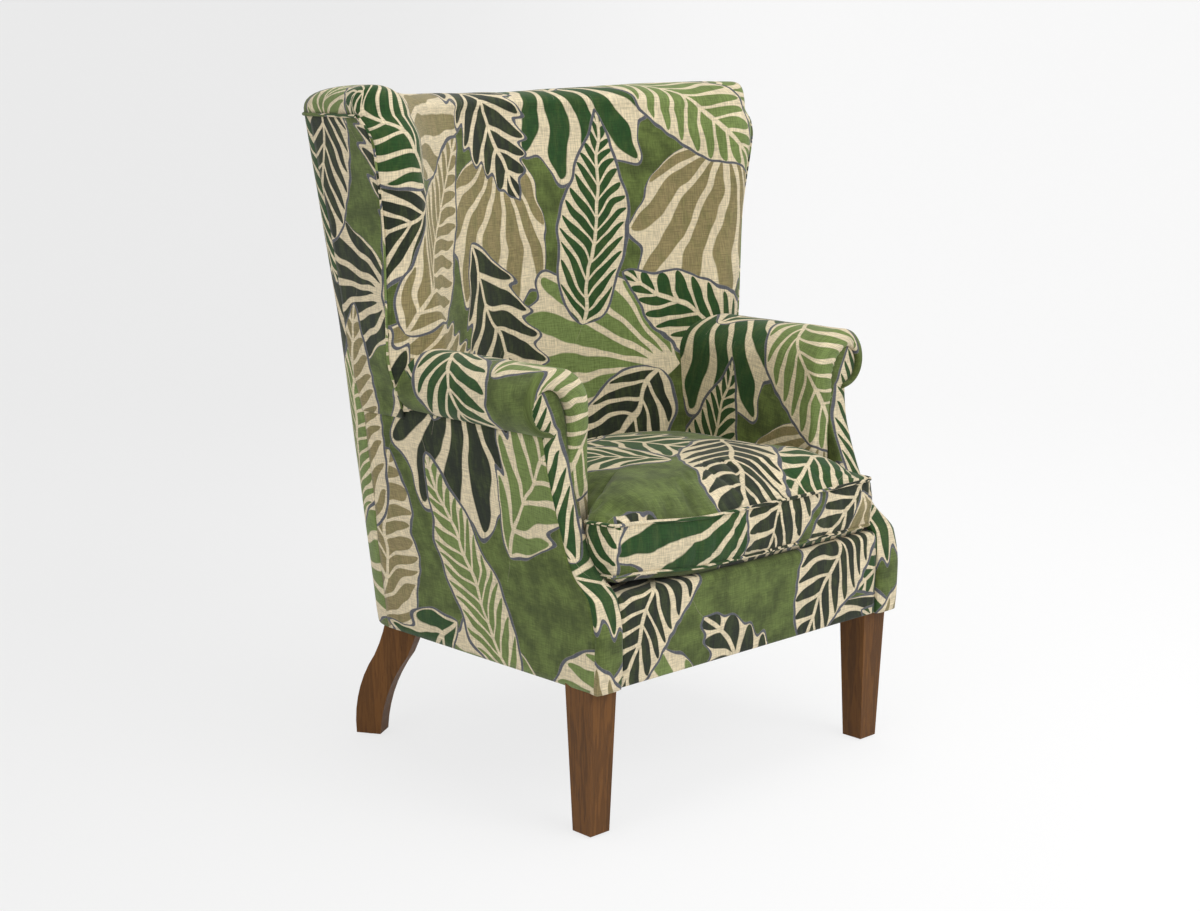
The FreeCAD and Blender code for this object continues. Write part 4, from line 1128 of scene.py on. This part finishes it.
class ARMCHAIR_OT_stage(MakingStep, bpy.types.Operator):
    """Pale studio floor and backdrop, soft lamps and the camera"""

    bl_idname = "armchair.stage"
    bl_label = "Studio stage"

    def seen(self, s):
        """One where the camera looks straight at it, or sees it mirrored or through glass."""
        path = s.node("ShaderNodeLightPath").outputs
        mirrored = s.sum("MAXIMUM", path["Is Glossy Ray"], path["Is Transmission Ray"])
        return s.sum("MAXIMUM", path["Is Camera Ray"], mirrored)

    def backdrop(self, look):
        """Paper that grows paler to the camera's right and shows as its own colour, a little shaded."""
        material, s, shader = plain_material("studio paper")
        place = s.node("ShaderNodeTexCoord").outputs["Object"]
        x, y = s.split(place)[:2]
        slant = x * 0.725 - y * 0.688
        paper = s.mix(s.step(slant, -1.2, 1.0), tuple(look.left), tuple(look.right))
        fibre = s.noise(place, 40.0, 3.0, 0.6)
        s.feed(shader.inputs["Base Color"], s.mix(fibre * 0.06, paper, (0.8, 0.8, 0.8)))
        shader.inputs["Roughness"].default_value = 0.95
        shader.inputs["Specular IOR Level"].default_value = 0.0
        glow = s.fed("ShaderNodeEmission", {"Color": paper}).outputs[0]
        blend = s.fed("ShaderNodeMixShader", {0: self.seen(s) * 0.82, 1: shader.outputs[0], 2: glow})
        end = next(n for n in material.node_tree.nodes if n.bl_idname == "ShaderNodeOutputMaterial")
        s.feed(end.inputs["Surface"], blend.outputs[0])
        return material

    def aimed(self, name, data, place, aim):
        """Lamp or camera at a place, turned the given way."""
        made = bpy.data.objects.new(name, data)
        settle(made, location=place, rotation_euler=Vector(aim).to_track_quat("-Z", "Y").to_euler())
        bpy.context.scene.collection.objects.link(made)
        return made

    def lamp(self, name, place, size, power):
        """Round soft lamp that points at the middle of the chair."""
        data = settle(bpy.data.lights.new(name, "AREA"), shape="DISK", size=size, energy=power)
        self.aimed(name, data, place, Vector((0.0, 0.0, 0.5)) - Vector(place))

    def paper(self, look):
        """Floor that turns up behind the chair in a wide cove."""
        columns, reach, radius = 10, 3.2, 3.0
        cove = np.linspace(0, math.pi / 2, 20)[1:]
        away = np.concatenate([np.linspace(-6.0, reach, 24), reach + radius * np.sin(cove), [reach + radius]])
        up = np.concatenate([np.zeros(24), radius - radius * np.cos(cove), [8.0]])
        ahead = np.array([math.sin(CAMERA_HEADING), math.cos(CAMERA_HEADING)])
        right = np.array([math.cos(CAMERA_HEADING), -math.sin(CAMERA_HEADING)])
        flat = away[:, None, None] * ahead + np.linspace(-9, 9, columns)[None, :, None] * right
        grid = np.array([raised(line, height) for line, height in zip(flat, up)])
        paper = new_piece("studio_paper", grid.reshape(-1, 3), grid_faces(len(away), columns).tolist())
        paper.data.materials.append(self.backdrop(look))

    def camera(self):
        """Camera at the photograph's angle."""
        level = math.cos(CAMERA_PITCH)
        aim = (math.sin(CAMERA_HEADING) * level, math.cos(CAMERA_HEADING) * level, -math.sin(CAMERA_PITCH))
        data = settle(bpy.data.cameras.new("photo camera"), sensor_width=36.0, lens=CAMERA_LENS)
        return self.aimed("photo camera", data, CAMERA_PLACE, aim)

    def execute(self, context):
        scene = context.scene
        look = scene.armchair_stage
        self.paper(look)
        world = bpy.data.worlds.new("studio air")
        world.use_nodes = True
        air = world.node_tree.nodes["Background"]
        air.inputs["Color"].default_value = (1.0, 1.0, 1.0, 1.0)
        s = Sheet(world.node_tree)
        s.feed(air.inputs["Strength"], self.seen(s).at_least(0.55))
        scene.world = world
        self.lamp("key lamp", (0.4, -3.4, 2.9), 2.6, look.key)
        self.lamp("fill lamp", (-3.6, -0.4, 2.2), 2.4, look.fill)
        self.lamp("top lamp", (0.2, -0.5, 3.4), 2.2, look.top)
        scene.camera = self.camera()
        scene.view_settings.view_transform = "Standard"
        return {"FINISHED"}


STEPS = (
    ARMCHAIR_OT_inside_cover, ARMCHAIR_OT_arm_covers, ARMCHAIR_OT_facings, ARMCHAIR_OT_outside_covers,
    ARMCHAIR_OT_seat_border, ARMCHAIR_OT_seat_cushion, ARMCHAIR_OT_seam_welts, ARMCHAIR_OT_legs, ARMCHAIR_OT_stage,
)


class ARMCHAIR_PT_steps(bpy.types.Panel):
    """Lists the armchair's making steps and its settings"""

    bl_label = "Wing armchair"
    bl_idname = "ARMCHAIR_PT_steps"
    bl_space_type = "VIEW_3D"
    bl_region_type = "UI"
    bl_category = "Armchair"

    def draw(self, context):
        for step in STEPS:
            self.layout.operator(step.bl_idname)
        for group in ("armchair_covers", "armchair_cloth", "armchair_wood", "armchair_stage"):
            box = self.layout.box()
            settings = getattr(context.scene, group)
            for key in settings.__annotations__:
                box.prop(settings, key)


GROUPS = (
    ("armchair_covers", CoverSizes), ("armchair_cloth", ClothColours),
    ("armchair_wood", WoodColours), ("armchair_stage", StageLook),
)


def register():
    for name, group in GROUPS:
        bpy.utils.register_class(group)
        setattr(bpy.types.Scene, name, bpy.props.PointerProperty(type=group))
    for step in STEPS:
        bpy.utils.register_class(step)
    bpy.utils.register_class(ARMCHAIR_PT_steps)


def unregister():
    bpy.utils.unregister_class(ARMCHAIR_PT_steps)
    for step in reversed(STEPS):
        bpy.utils.unregister_class(step)
    for name, group in reversed(GROUPS):
        delattr(bpy.types.Scene, name)
        bpy.utils.unregister_class(group)


def main():
    register()
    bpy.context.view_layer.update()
    bpy.ops.armchair.inside_cover()
    bpy.ops.armchair.arm_covers()
    bpy.ops.armchair.facings()
    bpy.ops.armchair.outside_covers()
    bpy.ops.armchair.seat_border()
    bpy.ops.armchair.seat_cushion()
    bpy.ops.armchair.seam_welts()
    bpy.ops.armchair.legs()
    bpy.ops.armchair.stage()


if __name__ == "__main__":
    main()
